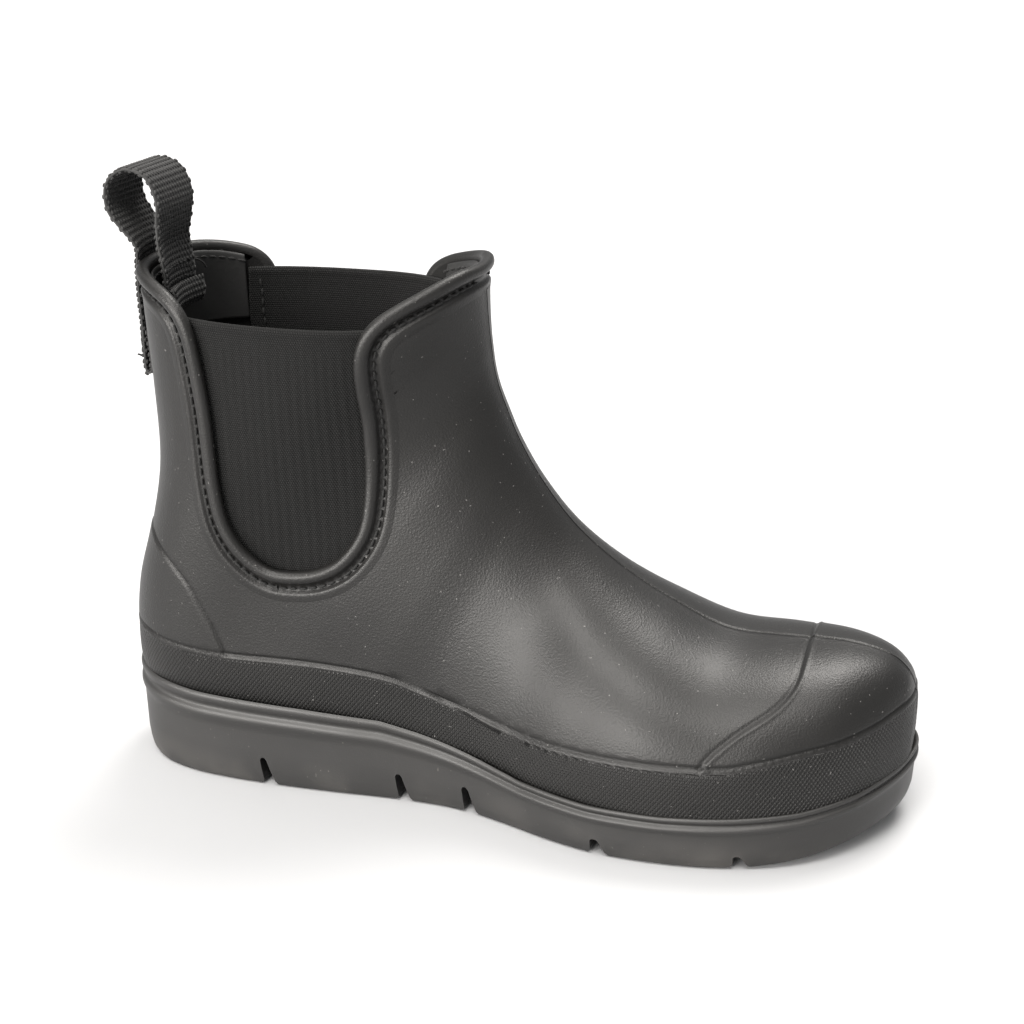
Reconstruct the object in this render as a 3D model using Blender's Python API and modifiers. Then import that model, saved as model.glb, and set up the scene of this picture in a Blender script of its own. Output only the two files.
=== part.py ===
"""Ankle-height rubber rain boot for the right foot, with elastic gores and a webbing pull loop.

The last is drawn in millimetres: +X runs to the toe, +Y to the inner side of the foot, +Z up from
the ground, and Y = 0 is the parting plane of the mould. An empty carries everything to the row
frame, in metres, whose origin is the middle of the boot's footprint.
"""
import math

import bmesh
import bpy
import numpy as np
from mathutils import Vector
from mathutils.bvhtree import BVHTree

MM = 0.001
GAP = 0.35                      # clearance between pieces that touch
LAST_ORIGIN = (2.6, 5.4, 0.0)   # where the last's own zero lies in the row frame

# Moulded wall, rolled rim and seams
WALL = 3.0
BEAD_RADIUS = 2.3
BEAD_DEPTH = 0.8                # rim centre below the outer surface
SEAM_OFFSET = 3.9               # stitch line outside the rim centre
THREAD_RADIUS = 0.4
THREAD_LIFT = 0.6               # clearance under the thread of the seam, which turns often

# Elastic gores
GORE_DEPTH = 3.6                # outer face of the gore below the outer surface
GORE_THICKNESS = 1.5
GORE_MARGIN = 9.0               # seam allowance behind the rim
GORE_TOP = {-1: 166.5, 1: 169.0}  # outer side, inner side

# Facings inside the collar
LINING_DEPTH = WALL + GAP
FACING_THICKNESS = 1.2
FACING_FOOT = 151.0             # lower edge
FACING_DROP = 4.0               # upper edge below the rim centre
REAR_FACING_EDGE = -115.5
FRONT_FACING_EDGE = -32.5
FACING_FIRST_SECTION = 16.0     # the facings lie above this section of the upper
FACING_REACH = 60.0             # their cutters run this far past them
FACING_RISE = 14.0

# Webbing pull loop
WEBBING_WIDTH = 25.0
WEBBING_THICKNESS = 1.6
FOLDED_TAIL = 3.3               # the outer leg is folded back on itself
TAIL_HANG = 1.2                 # how far the outer leg's lower end stands off the shell
OUTER_TAIL = (141.0, 181.0)     # lower and upper end
INNER_TAIL = (158.0, 180.0)
OUTER_STITCH = (146.0, 158.0)   # lower and upper line of the sewn rectangle
INNER_STITCH = (162.0, 170.0)
STITCH_INSET = 3.5              # from the edge of the webbing
LOOP_PIVOT = (-130.8, 183.6)    # x and z of the line the loop swings about
# Centre line of the bow from its rear foot to its front foot, counted from the pivot: (x, z)
BOW_LINE = [(-3.6, 2.6), (-7.0, 7.4), (-10.8, 14.6), (-10.2, 22.6), (-3.8, 27.6), (4.2, 25.0),
            (7.8, 16.6), (6.8, 8.4), (3.6, 2.6)]

# Footbed
INSOLE_MARGIN = 11.0            # inside the outline of the sole
FOAM_THICKNESS = 4.2
COVER_THICKNESS = 0.9
INSOLE_ENDS = (-126.0, 120.0)   # heel and toe end

# Sections of the upper from the toe tip round the heel to the top of the shaft. Each lies in a
# plane through its bottom point and its top point: (x, z) of both, half-widths of the outer and
# the inner side, where it is widest (0 bottom, 1 top), and the powers of its upper and lower half.
SECTIONS = [
    ((136.5, 33.0), (136.7, 41.5), 4.0, 4.5, 0.45, 2.0, 2.2),
    ((135.8, 24.5), (136.1, 47.2), 9.4, 13.2, 0.36, 2.2, 2.8),
    ((132.3, 18.0), (133.3, 54.2), 17.0, 19.6, 0.32, 2.35, 3.6),
    ((125.0, 14.2), (126.0, 59.6), 27.8, 27.4, 0.27, 2.45, 4.4),
    ((112.0, 11.8), (113.0, 62.4), 40.7, 35.3, 0.24, 2.5, 5.0),
    ((94.0, 10.2), (94.5, 62.6), 50.0, 41.4, 0.24, 2.5, 5.4),
    ((72.0, 9.8), (73.0, 63.2), 54.8, 44.2, 0.24, 2.4, 5.6),
    ((48.0, 10.0), (53.0, 71.5), 55.3, 43.4, 0.24, 2.25, 5.6),
    ((22.0, 11.5), (35.0, 81.7), 49.8, 39.4, 0.24, 2.15, 5.4),
    ((-5.0, 14.5), (19.0, 94.6), 39.6, 35.6, 0.25, 2.1, 5.4),
    ((-32.0, 17.5), (7.0, 109.6), 35.9, 33.8, 0.27, 2.05, 5.2),
    ((-60.0, 19.5), (-1.2, 123.6), 36.2, 34.2, 0.31, 2.05, 5.0),
    ((-88.0, 20.0), (-6.0, 135.0), 36.6, 35.2, 0.34, 2.05, 4.9),
    ((-113.0, 20.5), (-8.7, 142.5), 36.5, 35.8, 0.37, 2.05, 4.4),
    ((-131.0, 22.8), (-10.2, 149.0), 36.6, 36.0, 0.40, 2.05, 3.3),
    ((-139.4, 31.5), (-11.0, 155.0), 37.0, 36.4, 0.42, 2.05, 2.7),
    ((-141.2, 47.0), (-11.5, 159.0), 37.6, 37.3, 0.44, 2.05, 2.45),
    ((-139.4, 65.0), (-11.9, 163.0), 38.2, 38.2, 0.46, 2.05, 2.4),
    ((-133.6, 86.0), (-12.3, 168.0), 39.2, 39.4, 0.49, 2.05, 2.45),
    ((-129.0, 110.0), (-12.6, 173.5), 40.5, 40.9, 0.52, 2.05, 2.5),
    ((-129.4, 138.0), (-12.8, 179.5), 41.5, 42.0, 0.55, 2.05, 2.55),
    ((-131.2, 165.0), (-13.0, 187.0), 42.2, 42.8, 0.57, 2.05, 2.6),
    ((-132.6, 190.0), (-13.0, 195.0), 42.4, 43.0, 0.58, 2.05, 2.6),
]
RINGS = 36
AROUND = 28
OPEN_COLUMNS = 4                # a facing leaves this many columns free at the far end

# Centre line of the rim seen from the side, from the front of the collar down round the gore
# window and up to the back of the collar: (x, z). The collar's front rises less on the inner side.
RIM_FRONT = {-1: [(-13.0, 183.2), (-18.0, 181.4), (-24.6, 178.0), (-32.0, 174.0), (-38.2, 169.8),
                  (-42.2, 164.6)],
             1: [(-13.0, 183.2), (-18.5, 181.2), (-26.0, 178.6), (-34.6, 175.4), (-40.6, 171.6),
                 (-43.8, 166.0)]}
WINDOW = [(-44.2, 158.0), (-44.4, 148.0), (-43.6, 136.0), (-43.4, 122.0), (-44.0, 108.5),
          (-45.6, 98.6), (-49.4, 91.2), (-55.0, 85.2), (-62.2, 81.4), (-70.0, 79.8),
          (-78.4, 80.0), (-84.8, 83.2), (-91.0, 89.4), (-95.6, 98.0), (-98.2, 110.0),
          (-99.4, 122.0), (-100.6, 137.0), (-103.0, 153.0)]
RIM_REAR = {-1: [(-105.0, 162.0), (-108.2, 168.6), (-113.4, 173.2), (-120.0, 175.9),
                 (-126.6, 177.6), (-132.0, 178.6)],
            1: [(-103.4, 161.0), (-105.2, 168.6), (-110.0, 173.6), (-117.6, 176.2),
                (-125.6, 177.8), (-132.0, 178.6)]}

# Outline of the sole at its lip, from the heel along the outer side to the toe and back: (x, y)
SOLE_OUTER = [(-142.8, 0.0), (-141.0, -11.0), (-135.8, -20.8), (-126.4, -29.4), (-113.0, -34.8),
              (-97.0, -37.2), (-78.0, -38.0), (-58.0, -37.8), (-38.0, -37.0), (-20.0, -37.6),
              (-6.0, -40.6), (8.0, -45.8), (22.0, -51.4), (36.0, -55.4), (50.0, -57.0),
              (65.0, -57.0), (80.0, -55.2), (95.0, -51.2), (108.0, -45.2), (119.5, -36.2),
              (129.0, -24.4), (135.8, -11.2)]
SOLE_INNER = [(138.4, 2.0), (136.4, 14.0), (129.8, 24.8), (119.0, 33.2), (104.0, 40.0),
              (86.0, 44.4), (66.0, 46.0), (45.0, 44.8), (22.0, 41.0), (0.0, 37.4),
              (-22.0, 35.4), (-45.0, 35.2), (-70.0, 36.2), (-92.0, 36.6), (-110.0, 34.0),
              (-124.6, 28.0), (-135.2, 19.2), (-141.4, 10.0)]
OUTLINE_POINTS = 68
END_HALF_WIDTH = 19.0           # the front and back of the shaft are read along X inside this

# Lip height along the sole: (x, z)
LIP = [(-144.0, 34.6), (-110.0, 32.6), (-70.0, 31.6), (-41.0, 30.2), (-27.0, 27.4), (-12.0, 24.0),
       (0.0, 21.4), (11.0, 19.4), (36.0, 18.2), (60.0, 18.2), (84.0, 19.2), (105.0, 20.6),
       (122.0, 23.0), (138.4, 27.5)]
# Walls of the sole, outside: inset from the outline, height between the ground (0) and the lip (1)
SIDE_PROFILE = [(2.4, 0.0), (1.4, 0.06), (0.9, 0.45), (0.9, 0.82), (0.1, 0.91), (0.0, 0.95),
                (0.35, 1.0)]
TREAD_ENDS = (-143.6, 138.4)    # heel and toe end
TOE_SPRING = 10.0               # how far the toe end of the tread rises
TOE_SPRING_START = 74.0
HEEL_BEVEL = 2.2
HEEL_BEVEL_START = -122.0

# Tread: V channels that reach the edges of the sole, (x, half-width, depth)
EDGE_CHANNELS = [(-82.6, 2.8, 10.6), (-33.0, 2.8, 10.4), (-8.4, 3.0, 10.0), (40.0, 3.4, 5.8),
                 (87.0, 3.0, 4.6)]
CHANNEL_LEAN = 0.18             # how far a channel leans to the heel for its depth
# Sipes between them, kept inside the edge: x
SIPES = [-124.0, -110.0, -96.0, -66.0, -50.0, 10.0, 25.0, 56.0, 71.0, 102.0]
SIPE_WIDTH = 3.6
SIPE_DEPTH = 2.6
SIPE_INSET = 9.0


# ---------------------------------------------------------------- curves and sections

def through(points, t):
    """Catmull-Rom curve through the points, t counted in points."""
    points = np.asarray(points, float)
    last = len(points) - 1
    i = min(int(t), last - 1)
    f = t - i
    a, b = points[i], points[i + 1]
    before = points[i - 1] if i > 0 else 2 * a - b
    after = points[i + 2] if i + 2 <= last else 2 * b - a
    ta, tb = (b - before) / 2, (after - a) / 2
    f2, f3 = f * f, f * f * f
    return (2 * f3 - 3 * f2 + 1) * a + (f3 - 2 * f2 + f) * ta + (3 * f2 - 2 * f3) * b + (f3 - f2) * tb


def through_closed(points, t):
    """Closed Catmull-Rom curve, t counted in points."""
    count = len(points)
    return through([points[(int(t) + k) % count] for k in (-1, 0, 1, 2)], 1 + t - int(t))


def even(points, count=None, step=None):
    """The polyline with its points spaced evenly along it."""
    points = np.asarray(points, float)
    run = np.concatenate([[0], np.cumsum(np.linalg.norm(np.diff(points, axis=0), axis=1))])
    count = count or max(2, round(run[-1] / step) + 1)
    at = np.linspace(0, run[-1], count)
    return np.stack([np.interp(at, run, points[:, k]) for k in range(points.shape[1])], 1)


def curve_points(control, per_span=6):
    """Points along the Catmull-Rom curve through the control points."""
    spans = (len(control) - 1) * per_span
    return np.array([through(control, k / per_span) for k in range(spans)] + [control[-1]])


def flat_section(section):
    """A section's numbers in one row."""
    bottom, top, *rest = section
    return [*bottom, *top, *rest]


def upper_point(t, angle):
    """Point of the upper's outer surface: t in sections, angle from the top towards the inner side."""
    bx, bz, tx, tz, outer, inner, widest, top_power, bottom_power = through(
        [flat_section(s) for s in SECTIONS], t)
    c, s = math.cos(angle), math.sin(angle)
    power = top_power if c >= 0 else bottom_power
    along = abs(c) ** (2 / power)
    u = widest + (1 - widest) * along if c >= 0 else widest * (1 - along)
    half = (inner if s >= 0 else -outer) * abs(s) ** (2 / power)
    return (bx + u * (tx - bx), half, bz + u * (tz - bz))


def section_steps(count):
    """Positions along the sections, closer together at the blunt toe."""
    last = len(SECTIONS) - 1
    return [last * (k / (count - 1)) ** 1.12 for k in range(count)]


def rim_line(side):
    """Centre line of the rim in the side view of the outer (-1) or the inner (1) side."""
    return curve_points(RIM_FRONT[side] + WINDOW + RIM_REAR[side])


def beside(line, distance):
    """The line moved sideways, towards the moulded shell for a positive distance."""
    tangent = np.gradient(line, axis=0)
    tangent /= np.linalg.norm(tangent, axis=1)[:, None]
    return line + distance * np.stack([-tangent[:, 1], tangent[:, 0]], 1)


def sole_outline():
    """Outline of the lip, evenly spaced from the heel round the outer side."""
    control = SOLE_OUTER + SOLE_INNER
    fine = [through_closed(control, k / 6) for k in range(6 * len(control))]
    return even(fine + [fine[0]], count=OUTLINE_POINTS + 1)[:-1]


def lip_height(x):
    """Height of the sole's lip at x."""
    xs, zs = zip(*LIP)
    return float(np.interp(x, xs, zs))


def tread_height(x):
    """Height of the tread's face at x."""
    toe = max(0.0, x - TOE_SPRING_START) / (TREAD_ENDS[1] - TOE_SPRING_START)
    heel = max(0.0, HEEL_BEVEL_START - x) / (HEEL_BEVEL_START - TREAD_ENDS[0])
    return TOE_SPRING * toe ** 2 + HEEL_BEVEL * heel ** 2


# ---------------------------------------------------------------- objects

def clear_scene():
    """Remove every object."""
    for item in list(bpy.data.objects):
        bpy.data.objects.remove(item, do_unlink=True)


def new_collection(name):
    """A collection linked to the scene."""
    collection = bpy.data.collections.new(name)
    bpy.context.scene.collection.children.link(collection)
    return collection


def material(name, color, roughness, metallic=0.0):
    """Principled material of one colour."""
    mat = bpy.data.materials.new(name)
    mat.use_nodes = True
    shader = mat.node_tree.nodes["Principled BSDF"]
    shader.inputs["Base Color"].default_value = (*color, 1.0)
    shader.inputs["Roughness"].default_value = roughness
    shader.inputs["Metallic"].default_value = metallic
    return mat


class Boot:
    """Collections, the frame empty and the surface that the pieces lie on."""

    def __init__(self):
        self.parts = new_collection("rain_boot")
        self.cutters = new_collection("rain_boot_cutters")
        self.frame = bpy.data.objects.new("last_frame", None)
        self.frame.location = Vector(LAST_ORIGIN) * MM
        self.parts.objects.link(self.frame)
        self.surface = None

    def add(self, name, points, faces, mat=None, cutter=False, smooth=True):
        """Mesh object from points in millimetres."""
        mesh = bpy.data.meshes.new(name)
        mesh.from_pydata([tuple(c * MM for c in p) for p in points], [], faces)
        return self.place(name, mesh, mat, cutter, smooth)

    def place(self, name, mesh, mat=None, cutter=False, smooth=True):
        """Object for a mesh, linked and parented."""
        item = bpy.data.objects.new(name, mesh)
        (self.cutters if cutter else self.parts).objects.link(item)
        item.parent = self.frame
        if mat:
            mesh.materials.clear()
            mesh.materials.append(mat)
        if smooth:
            mesh.shade_smooth()
            mesh.set_sharp_from_angle(angle=math.radians(40))
        if cutter:
            item.hide_render = True
            item.display_type = "WIRE"
        return item


def modify(item, kind, **settings):
    """Add a modifier with its settings."""
    mod = item.modifiers.new(kind.title(), kind)
    for key, value in settings.items():
        setattr(mod, key, value)
    return mod


def cut(item, cutter, operation="DIFFERENCE"):
    """Boolean with another object."""
    return modify(item, "BOOLEAN", operation=operation, object=cutter, solver="EXACT")


def grid_faces(rows, columns, closed=False):
    """Quads of a grid, facing along columns x rows."""
    span = columns if closed else columns - 1
    return [(r * columns + c, r * columns + (c + 1) % columns,
             (r + 1) * columns + (c + 1) % columns, (r + 1) * columns + c)
            for r in range(rows - 1) for c in range(span)]


def slab(boot, name, rows, thickness, mat):
    """Closed sheet from a grid of points with outward normals, thickened away from the surface.

    rows holds (point, normal) pairs; the sheet starts at the point and grows against the normal.
    """
    columns = len(rows[0])
    front = [p for row in rows for p, n in row]
    back = [tuple(Vector(p) - Vector(n) * thickness) for row in rows for p, n in row]
    count = len(front)
    faces = [tri for q in grid_faces(len(rows), columns) for tri in (q[:3], (q[0], q[2], q[3]))]
    last = (len(rows) - 1) * columns
    edge = list(range(columns)) + [r * columns + columns - 1 for r in range(1, len(rows))]
    edge += [last + c for c in range(columns - 2, -1, -1)]
    edge += [r * columns for r in range(len(rows) - 2, 0, -1)]
    walls = [(a, b, b + count, a + count) for a, b in zip(edge, edge[1:] + edge[:1])]
    backs = [tuple(i + count for i in reversed(f)) for f in faces]
    item = boot.add(name, front + back, faces + walls + backs, mat)
    face_outward(item)
    return item


def face_outward(item):
    """Turn the faces of a closed mesh outwards."""
    work = bmesh.new()
    work.from_mesh(item.data)
    bmesh.ops.recalc_face_normals(work, faces=work.faces)
    work.to_mesh(item.data)
    work.free()


def tube(boot, name, points, radius, mat=None, closed=False, cutter=False, sides=2):
    """Round tube along points in millimetres, as a mesh with welded caps."""
    curve = bpy.data.curves.new(name, "CURVE")
    curve.dimensions = "3D"
    curve.bevel_depth = radius * MM
    curve.bevel_resolution = sides
    curve.use_fill_caps = not closed
    spline = curve.splines.new("POLY")
    spline.points.add(len(points) - 1)
    for knot, p in zip(spline.points, points):
        knot.co = (*(c * MM for c in p), 1.0)
    spline.use_cyclic_u = closed
    guide = bpy.data.objects.new(name + "_line", curve)
    boot.cutters.objects.link(guide)
    bpy.context.view_layer.update()
    evaluated = guide.evaluated_get(bpy.context.evaluated_depsgraph_get())
    mesh = bpy.data.meshes.new_from_object(evaluated)
    work = bmesh.new()
    work.from_mesh(mesh)
    bmesh.ops.remove_doubles(work, verts=work.verts, dist=1e-6)
    bmesh.ops.recalc_face_normals(work, faces=work.faces)
    work.to_mesh(mesh)
    work.free()
    bpy.data.objects.remove(guide, do_unlink=True)
    return boot.place(name, mesh, mat, cutter)


def prism(boot, name, outline, low, high, axis="Y"):
    """Cutter: an outline in the side view (x, z) drawn out between two values of y."""
    count = len(outline)
    points = [(x, y, z) for y in (low, high) for x, z in outline]
    walls = [(i, (i + 1) % count, (i + 1) % count + count, i + count) for i in range(count)]
    caps = [tuple(range(count)), tuple(range(2 * count - 1, count - 1, -1))]
    item = boot.add(name, points, walls + caps, cutter=True, smooth=False)
    face_outward(item)
    return item


# ---------------------------------------------------------------- reading the outer surface

def outer_surface(extra=0.0, rings=RINGS, around=AROUND):
    """Points and faces of the upper's outer surface, moved outwards by extra, open at the top."""
    rows = [[upper_point(t, 2 * math.pi * k / around) for k in range(around)]
            for t in section_steps(rings)]
    points = [p for row in rows for p in row]
    faces = grid_faces(rings, around, closed=True)
    tip = tuple(np.mean(rows[0], axis=0))
    points.append(tip)
    faces += [(len(points) - 1, (k + 1) % around, k) for k in range(around)]
    if extra:
        normals = vertex_normals(points, faces)
        points = [tuple(Vector(p) + extra * n) for p, n in zip(points, normals)]
    return points, faces


def vertex_normals(points, faces):
    """Unit normals of the points."""
    mesh = bpy.data.meshes.new("normals")
    mesh.from_pydata(points, [], faces)
    normals = [v.normal.copy() for v in mesh.vertices]
    bpy.data.meshes.remove(mesh)
    return normals


def on_side(boot, x, z, side, depth):
    """Point below the outer surface at x and z on one side, and the normal there."""
    start = Vector((x, side * 90.0, z))
    point, normal, _, _ = boot.surface.ray_cast(start, Vector((0, -side, 0)))
    return tuple(point - normal * depth), tuple(normal)


def on_end(boot, y, z, depth, towards=-1):
    """Point below the outer surface at the back (-1) or the front (1) of the shaft, and its normal."""
    start = Vector((towards * 200.0, y, z))
    point, normal, _, _ = boot.surface.ray_cast(start, Vector((-towards, 0, 0)))
    return tuple(point - normal * float(depth)), tuple(normal)


def on_floor(boot, x, y, depth):
    """Height at x and y of the surface that lies a depth above the upper's outer bottom."""
    point, normal, _, _ = boot.surface.ray_cast(Vector((x, y, -50.0)), Vector((0, 0, 1)))
    return point.z + depth / abs(normal.z)


def seam_path(boot, side, offset, depth, step):
    """The rim line moved towards the shell, laid on one side of the boot."""
    line = within_ends(even(beside(rim_line(side), offset), step=step))
    return [on_side(boot, x, z, side, depth)[0] for x, z in line]


def within_ends(line):
    """The points of a side view line that rays along Y still meet."""
    front, back = RIM_FRONT[1][0][0] - 1.2, RIM_REAR[1][-1][0] + 2.0
    return [p for p in line if back < p[0] < front]


# ---------------------------------------------------------------- pieces

def upper_shell(boot, mat):
    """Moulded upper: one waterproof wall with its rolled rim round the collar and both windows."""
    points, faces = outer_surface()
    shell = boot.add("upper_shell", points, faces, mat)
    modify(shell, "SOLIDIFY", thickness=WALL * MM, offset=-1.0, use_even_offset=True)
    for side, word in ((-1, "outer"), (1, "inner")):
        above = [tuple(p) for p in even(rim_line(side), step=3.0)]
        start, end = above[0], above[-1]
        outline = [(30.0, start[1] + 6.0)] + above
        outline += [(-160.0, end[1] + 4.0), (-160.0, 230.0), (30.0, 230.0)]
        low, high = sorted((0.0, side * 75.0))
        cut(shell, prism(boot, "collar_cutter_" + word, outline, low, high))
    cut(shell, rim_bead(boot), "UNION")
    return shell


def rim_bead(boot):
    """Rolled rim: one closed tube round the whole collar and down round both windows."""
    loop = []
    for side in (-1, 1):
        half = seam_path(boot, side, 0.0, BEAD_DEPTH, 1.2)
        loop.append(half)
    front = (RIM_FRONT[1][0][0] - BEAD_DEPTH, 0.0, RIM_FRONT[1][0][1])
    back = (RIM_REAR[1][-1][0] + BEAD_DEPTH, 0.0, RIM_REAR[1][-1][1])
    ring = [front] + loop[0] + [back] + loop[1][::-1] + [front]
    return tube(boot, "rim_bead", even(ring, step=4.2)[:-1], BEAD_RADIUS, closed=True, cutter=True,
                sides=1)


def outsole(boot, mat):
    """Cup sole: the wall with its lip, the cup that takes the upper, and the cut tread."""
    ring = sole_outline()
    inward = inward_normals(ring)
    points = []
    for inset, height in SIDE_PROFILE:
        for (x, y), n in zip(ring, inward):
            px, py = np.array((x, y)) + inset * n
            low, high = tread_height(px), lip_height(px)
            points.append((px, py, low + height * (high - low)))
    rows = len(SIDE_PROFILE)
    faces = grid_faces(rows, OUTLINE_POINTS, closed=True)
    faces += ladder(0, OUTLINE_POINTS) + ladder((rows - 1) * OUTLINE_POINTS, OUTLINE_POINTS)
    sole = boot.add("outsole", points, faces, mat)
    face_outward(sole)
    shell_points, shell_faces = outer_surface(extra=GAP)
    top = (RINGS - 1) * AROUND
    shell_faces.append(tuple(top + k for k in range(AROUND)))
    well = boot.add("cup_cutter", shell_points, shell_faces, cutter=True)
    face_outward(well)
    cut(sole, well)
    cut(sole, tread_cutter(boot))
    return sole


def inward_normals(ring):
    """Unit normals of a closed outline, pointing to its inside."""
    tangent = np.roll(ring, -1, axis=0) - np.roll(ring, 1, axis=0)
    normal = np.stack([-tangent[:, 1], tangent[:, 0]], 1)
    return normal / np.linalg.norm(normal, axis=1)[:, None]


def ladder(start, count):
    """Quads that close a ring by joining its outer side to its inner side."""
    rungs = [(start + k, start + (count - k) % count) for k in range(1, count // 2)]
    faces = [(start, rungs[0][0], rungs[0][1]), (start + count // 2, rungs[-1][1], rungs[-1][0])]
    return faces + [(a[0], b[0], b[1], a[1]) for a, b in zip(rungs, rungs[1:])]


def tread_cutter(boot):
    """V channels across the whole sole, and sipes that stop short of its edge."""
    work = bmesh.new()
    for x, half, depth in EDGE_CHANNELS:
        base = tread_height(x)
        lean = depth * CHANNEL_LEAN
        outline = [(x - half * 1.3, base - 3.0), (x + half * 1.3, base - 3.0), (x + half, base + 0.4),
                   (x - lean + half * 0.4, base + depth), (x - lean - half * 0.4, base + depth),
                   (x - half, base + 0.4)]
        add_bar(work, outline, -80.0, 80.0)
    ring = sole_outline()
    for x in SIPES:
        base = tread_height(x)
        w = SIPE_WIDTH / 2
        outline = [(x - w, base - 3.0), (x + w, base - 3.0), (x + w * 0.7, base + SIPE_DEPTH),
                   (x - w * 0.7, base + SIPE_DEPTH)]
        low, high = outline_span(ring, x)
        add_bar(work, outline, low + SIPE_INSET, high - SIPE_INSET)
    bmesh.ops.recalc_face_normals(work, faces=work.faces)
    mesh = bpy.data.meshes.new("tread_cutter")
    work.to_mesh(mesh)
    work.free()
    return boot.place("tread_cutter", mesh, cutter=True, smooth=False)


def add_bar(work, outline, low, high):
    """Add a prism along Y to a bmesh."""
    ends = [[work.verts.new((x * MM, y * MM, z * MM)) for x, z in outline] for y in (low, high)]
    for a, b, c, d in zip(ends[0], ends[0][1:] + ends[0][:1], ends[1][1:] + ends[1][:1], ends[1]):
        work.faces.new((a, b, c, d))
    for end in ends:
        work.faces.new(end)


def outline_span(ring, x):
    """Least and greatest y of the outline at x."""
    outer = [p for p in ring if p[1] < 0]
    inner = [p for p in ring if p[1] >= 0]
    outer.sort(key=lambda p: p[0])
    inner.sort(key=lambda p: p[0])
    low = np.interp(x, [p[0] for p in outer], [p[1] for p in outer])
    high = np.interp(x, [p[0] for p in inner], [p[1] for p in inner])
    return float(low), float(high)


def gore_edges(z):
    """Front and rear edge of the gore at a height, seam allowance included."""
    window = beside(curve_points(WINDOW), GORE_MARGIN)
    lowest = int(np.argmin(window[:, 1]))
    front, rear = window[:lowest + 1], window[lowest:]
    xf = np.interp(z, front[::-1, 1], front[::-1, 0])
    xr = np.interp(z, rear[:, 1], rear[:, 0])
    return float(xf), float(xr)


def gore(boot, name, side, mat):
    """Woven elastic panel sewn behind the rim of the window."""
    low = beside(curve_points(WINDOW), GORE_MARGIN)[:, 1].min() + 0.15
    rows = []
    count = 12
    for r in range(count):
        z = low + (GORE_TOP[side] - low) * (r / (count - 1)) ** 1.9
        xf, xr = gore_edges(z)
        xs = np.linspace(xr, xf, 9)
        rows.append([on_side(boot, x, z, side, GORE_DEPTH) for x in xs])
    return slab(boot, name, rows, GORE_THICKNESS, mat)


def seam_thread(boot, name, side, mat):
    """Thread of the seam that runs along the collar and round the gore window."""
    path = seam_path(boot, side, SEAM_OFFSET, -(THREAD_RADIUS + THREAD_LIFT), 3.2)
    return tube(boot, name, path, THREAD_RADIUS, mat, sides=0)


def facing(boot, name, x_edge, towards, mat):
    """Smooth facing laid inside the collar round its back or its front."""
    points, faces = outer_surface()
    normals = vertex_normals(points, faces)
    first = next(i for i, t in enumerate(section_steps(RINGS)) if t > FACING_FIRST_SECTION)
    rows = []
    for r in range(first, RINGS):
        row = []
        for k in range(AROUND + 1):
            i = r * AROUND + (k + (AROUND // 2 if towards > 0 else 0)) % AROUND
            p = Vector(points[i]) - LINING_DEPTH * normals[i]
            row.append((tuple(p), tuple(normals[i])))
        rows.append(row[OPEN_COLUMNS:-OPEN_COLUMNS])
    item = slab(boot, name, rows, FACING_THICKNESS, mat)
    rim = beside(rim_line(-1), FACING_DROP)
    rim = [(x, z) for x, z in even(rim, step=4.0) if (x - x_edge) * towards > 0 and z > FACING_FOOT]
    far = FACING_REACH * towards + x_edge
    if towards > 0:
        outline = [(far, rim[0][1] + FACING_RISE)] + rim + [(x_edge, rim[-1][1] - 2.0), (x_edge, FACING_FOOT),
                                                     (far, FACING_FOOT)]
    else:
        outline = rim + [(far, rim[-1][1] + FACING_RISE), (far, FACING_FOOT), (x_edge, FACING_FOOT),
                         (x_edge, rim[0][1] - 2.0)]
    cut(item, prism(boot, name + "_cutter", outline, -70.0, 70.0), "INTERSECT")
    return item


def facing_thread(boot, name, x_edge, towards, mat):
    """Stitch line along the upper edge of a facing, on its inner face."""
    depth = LINING_DEPTH + FACING_THICKNESS + GAP + THREAD_RADIUS
    line = within_ends(even(beside(rim_line(-1), FACING_DROP + 3.0), step=3.6))
    keep = [(x, z) for x, z in line if (x - x_edge) * towards > 1.5 and z > FACING_FOOT + 4]
    if towards > 0:
        keep = keep[::-1]
    keep = [p for p in keep if abs(on_side(boot, *p, 1, 0)[0][1]) > END_HALF_WIDTH]
    height = keep[-1][1]
    across = [on_end(boot, y, height, depth, towards)[0] for y in (-14.0, -7.0, 0.0, 7.0, 14.0)]
    sides = [[on_side(boot, x, z, side, depth)[0] for x, z in keep] for side in (-1, 1)]
    path = sides[0] + across + sides[1][::-1]
    return tube(boot, name, even(path, step=3.6), THREAD_RADIUS, mat, sides=0)


def tail(boot, name, ends, depth, thickness, mat):
    """Webbing sewn at the middle of the back, its rear face at a depth below the outer surface."""
    rows = []
    for z in np.linspace(*ends, 9):
        ys = np.linspace(WEBBING_WIDTH / 2, -WEBBING_WIDTH / 2, 7)
        rows.append([on_end(boot, y, z, depth(z)) for y in ys])
    return slab(boot, name, rows, thickness, mat)


def outer_tail_depth(z):
    """Depth of the outer leg's rear face: it hangs off the wall below and clears the rim above."""
    low, high = OUTER_TAIL
    hang = TAIL_HANG * (1 - (z - low) / (high - low))
    start = RIM_REAR[1][-1][1] - BEAD_RADIUS - 4.5
    f = min(max((z - start) / 4.0, 0.0), 1.0)
    rise = (BEAD_RADIUS - BEAD_DEPTH) * f * f * (3 - 2 * f)
    return -(GAP + FOLDED_TAIL + hang + rise)


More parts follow.
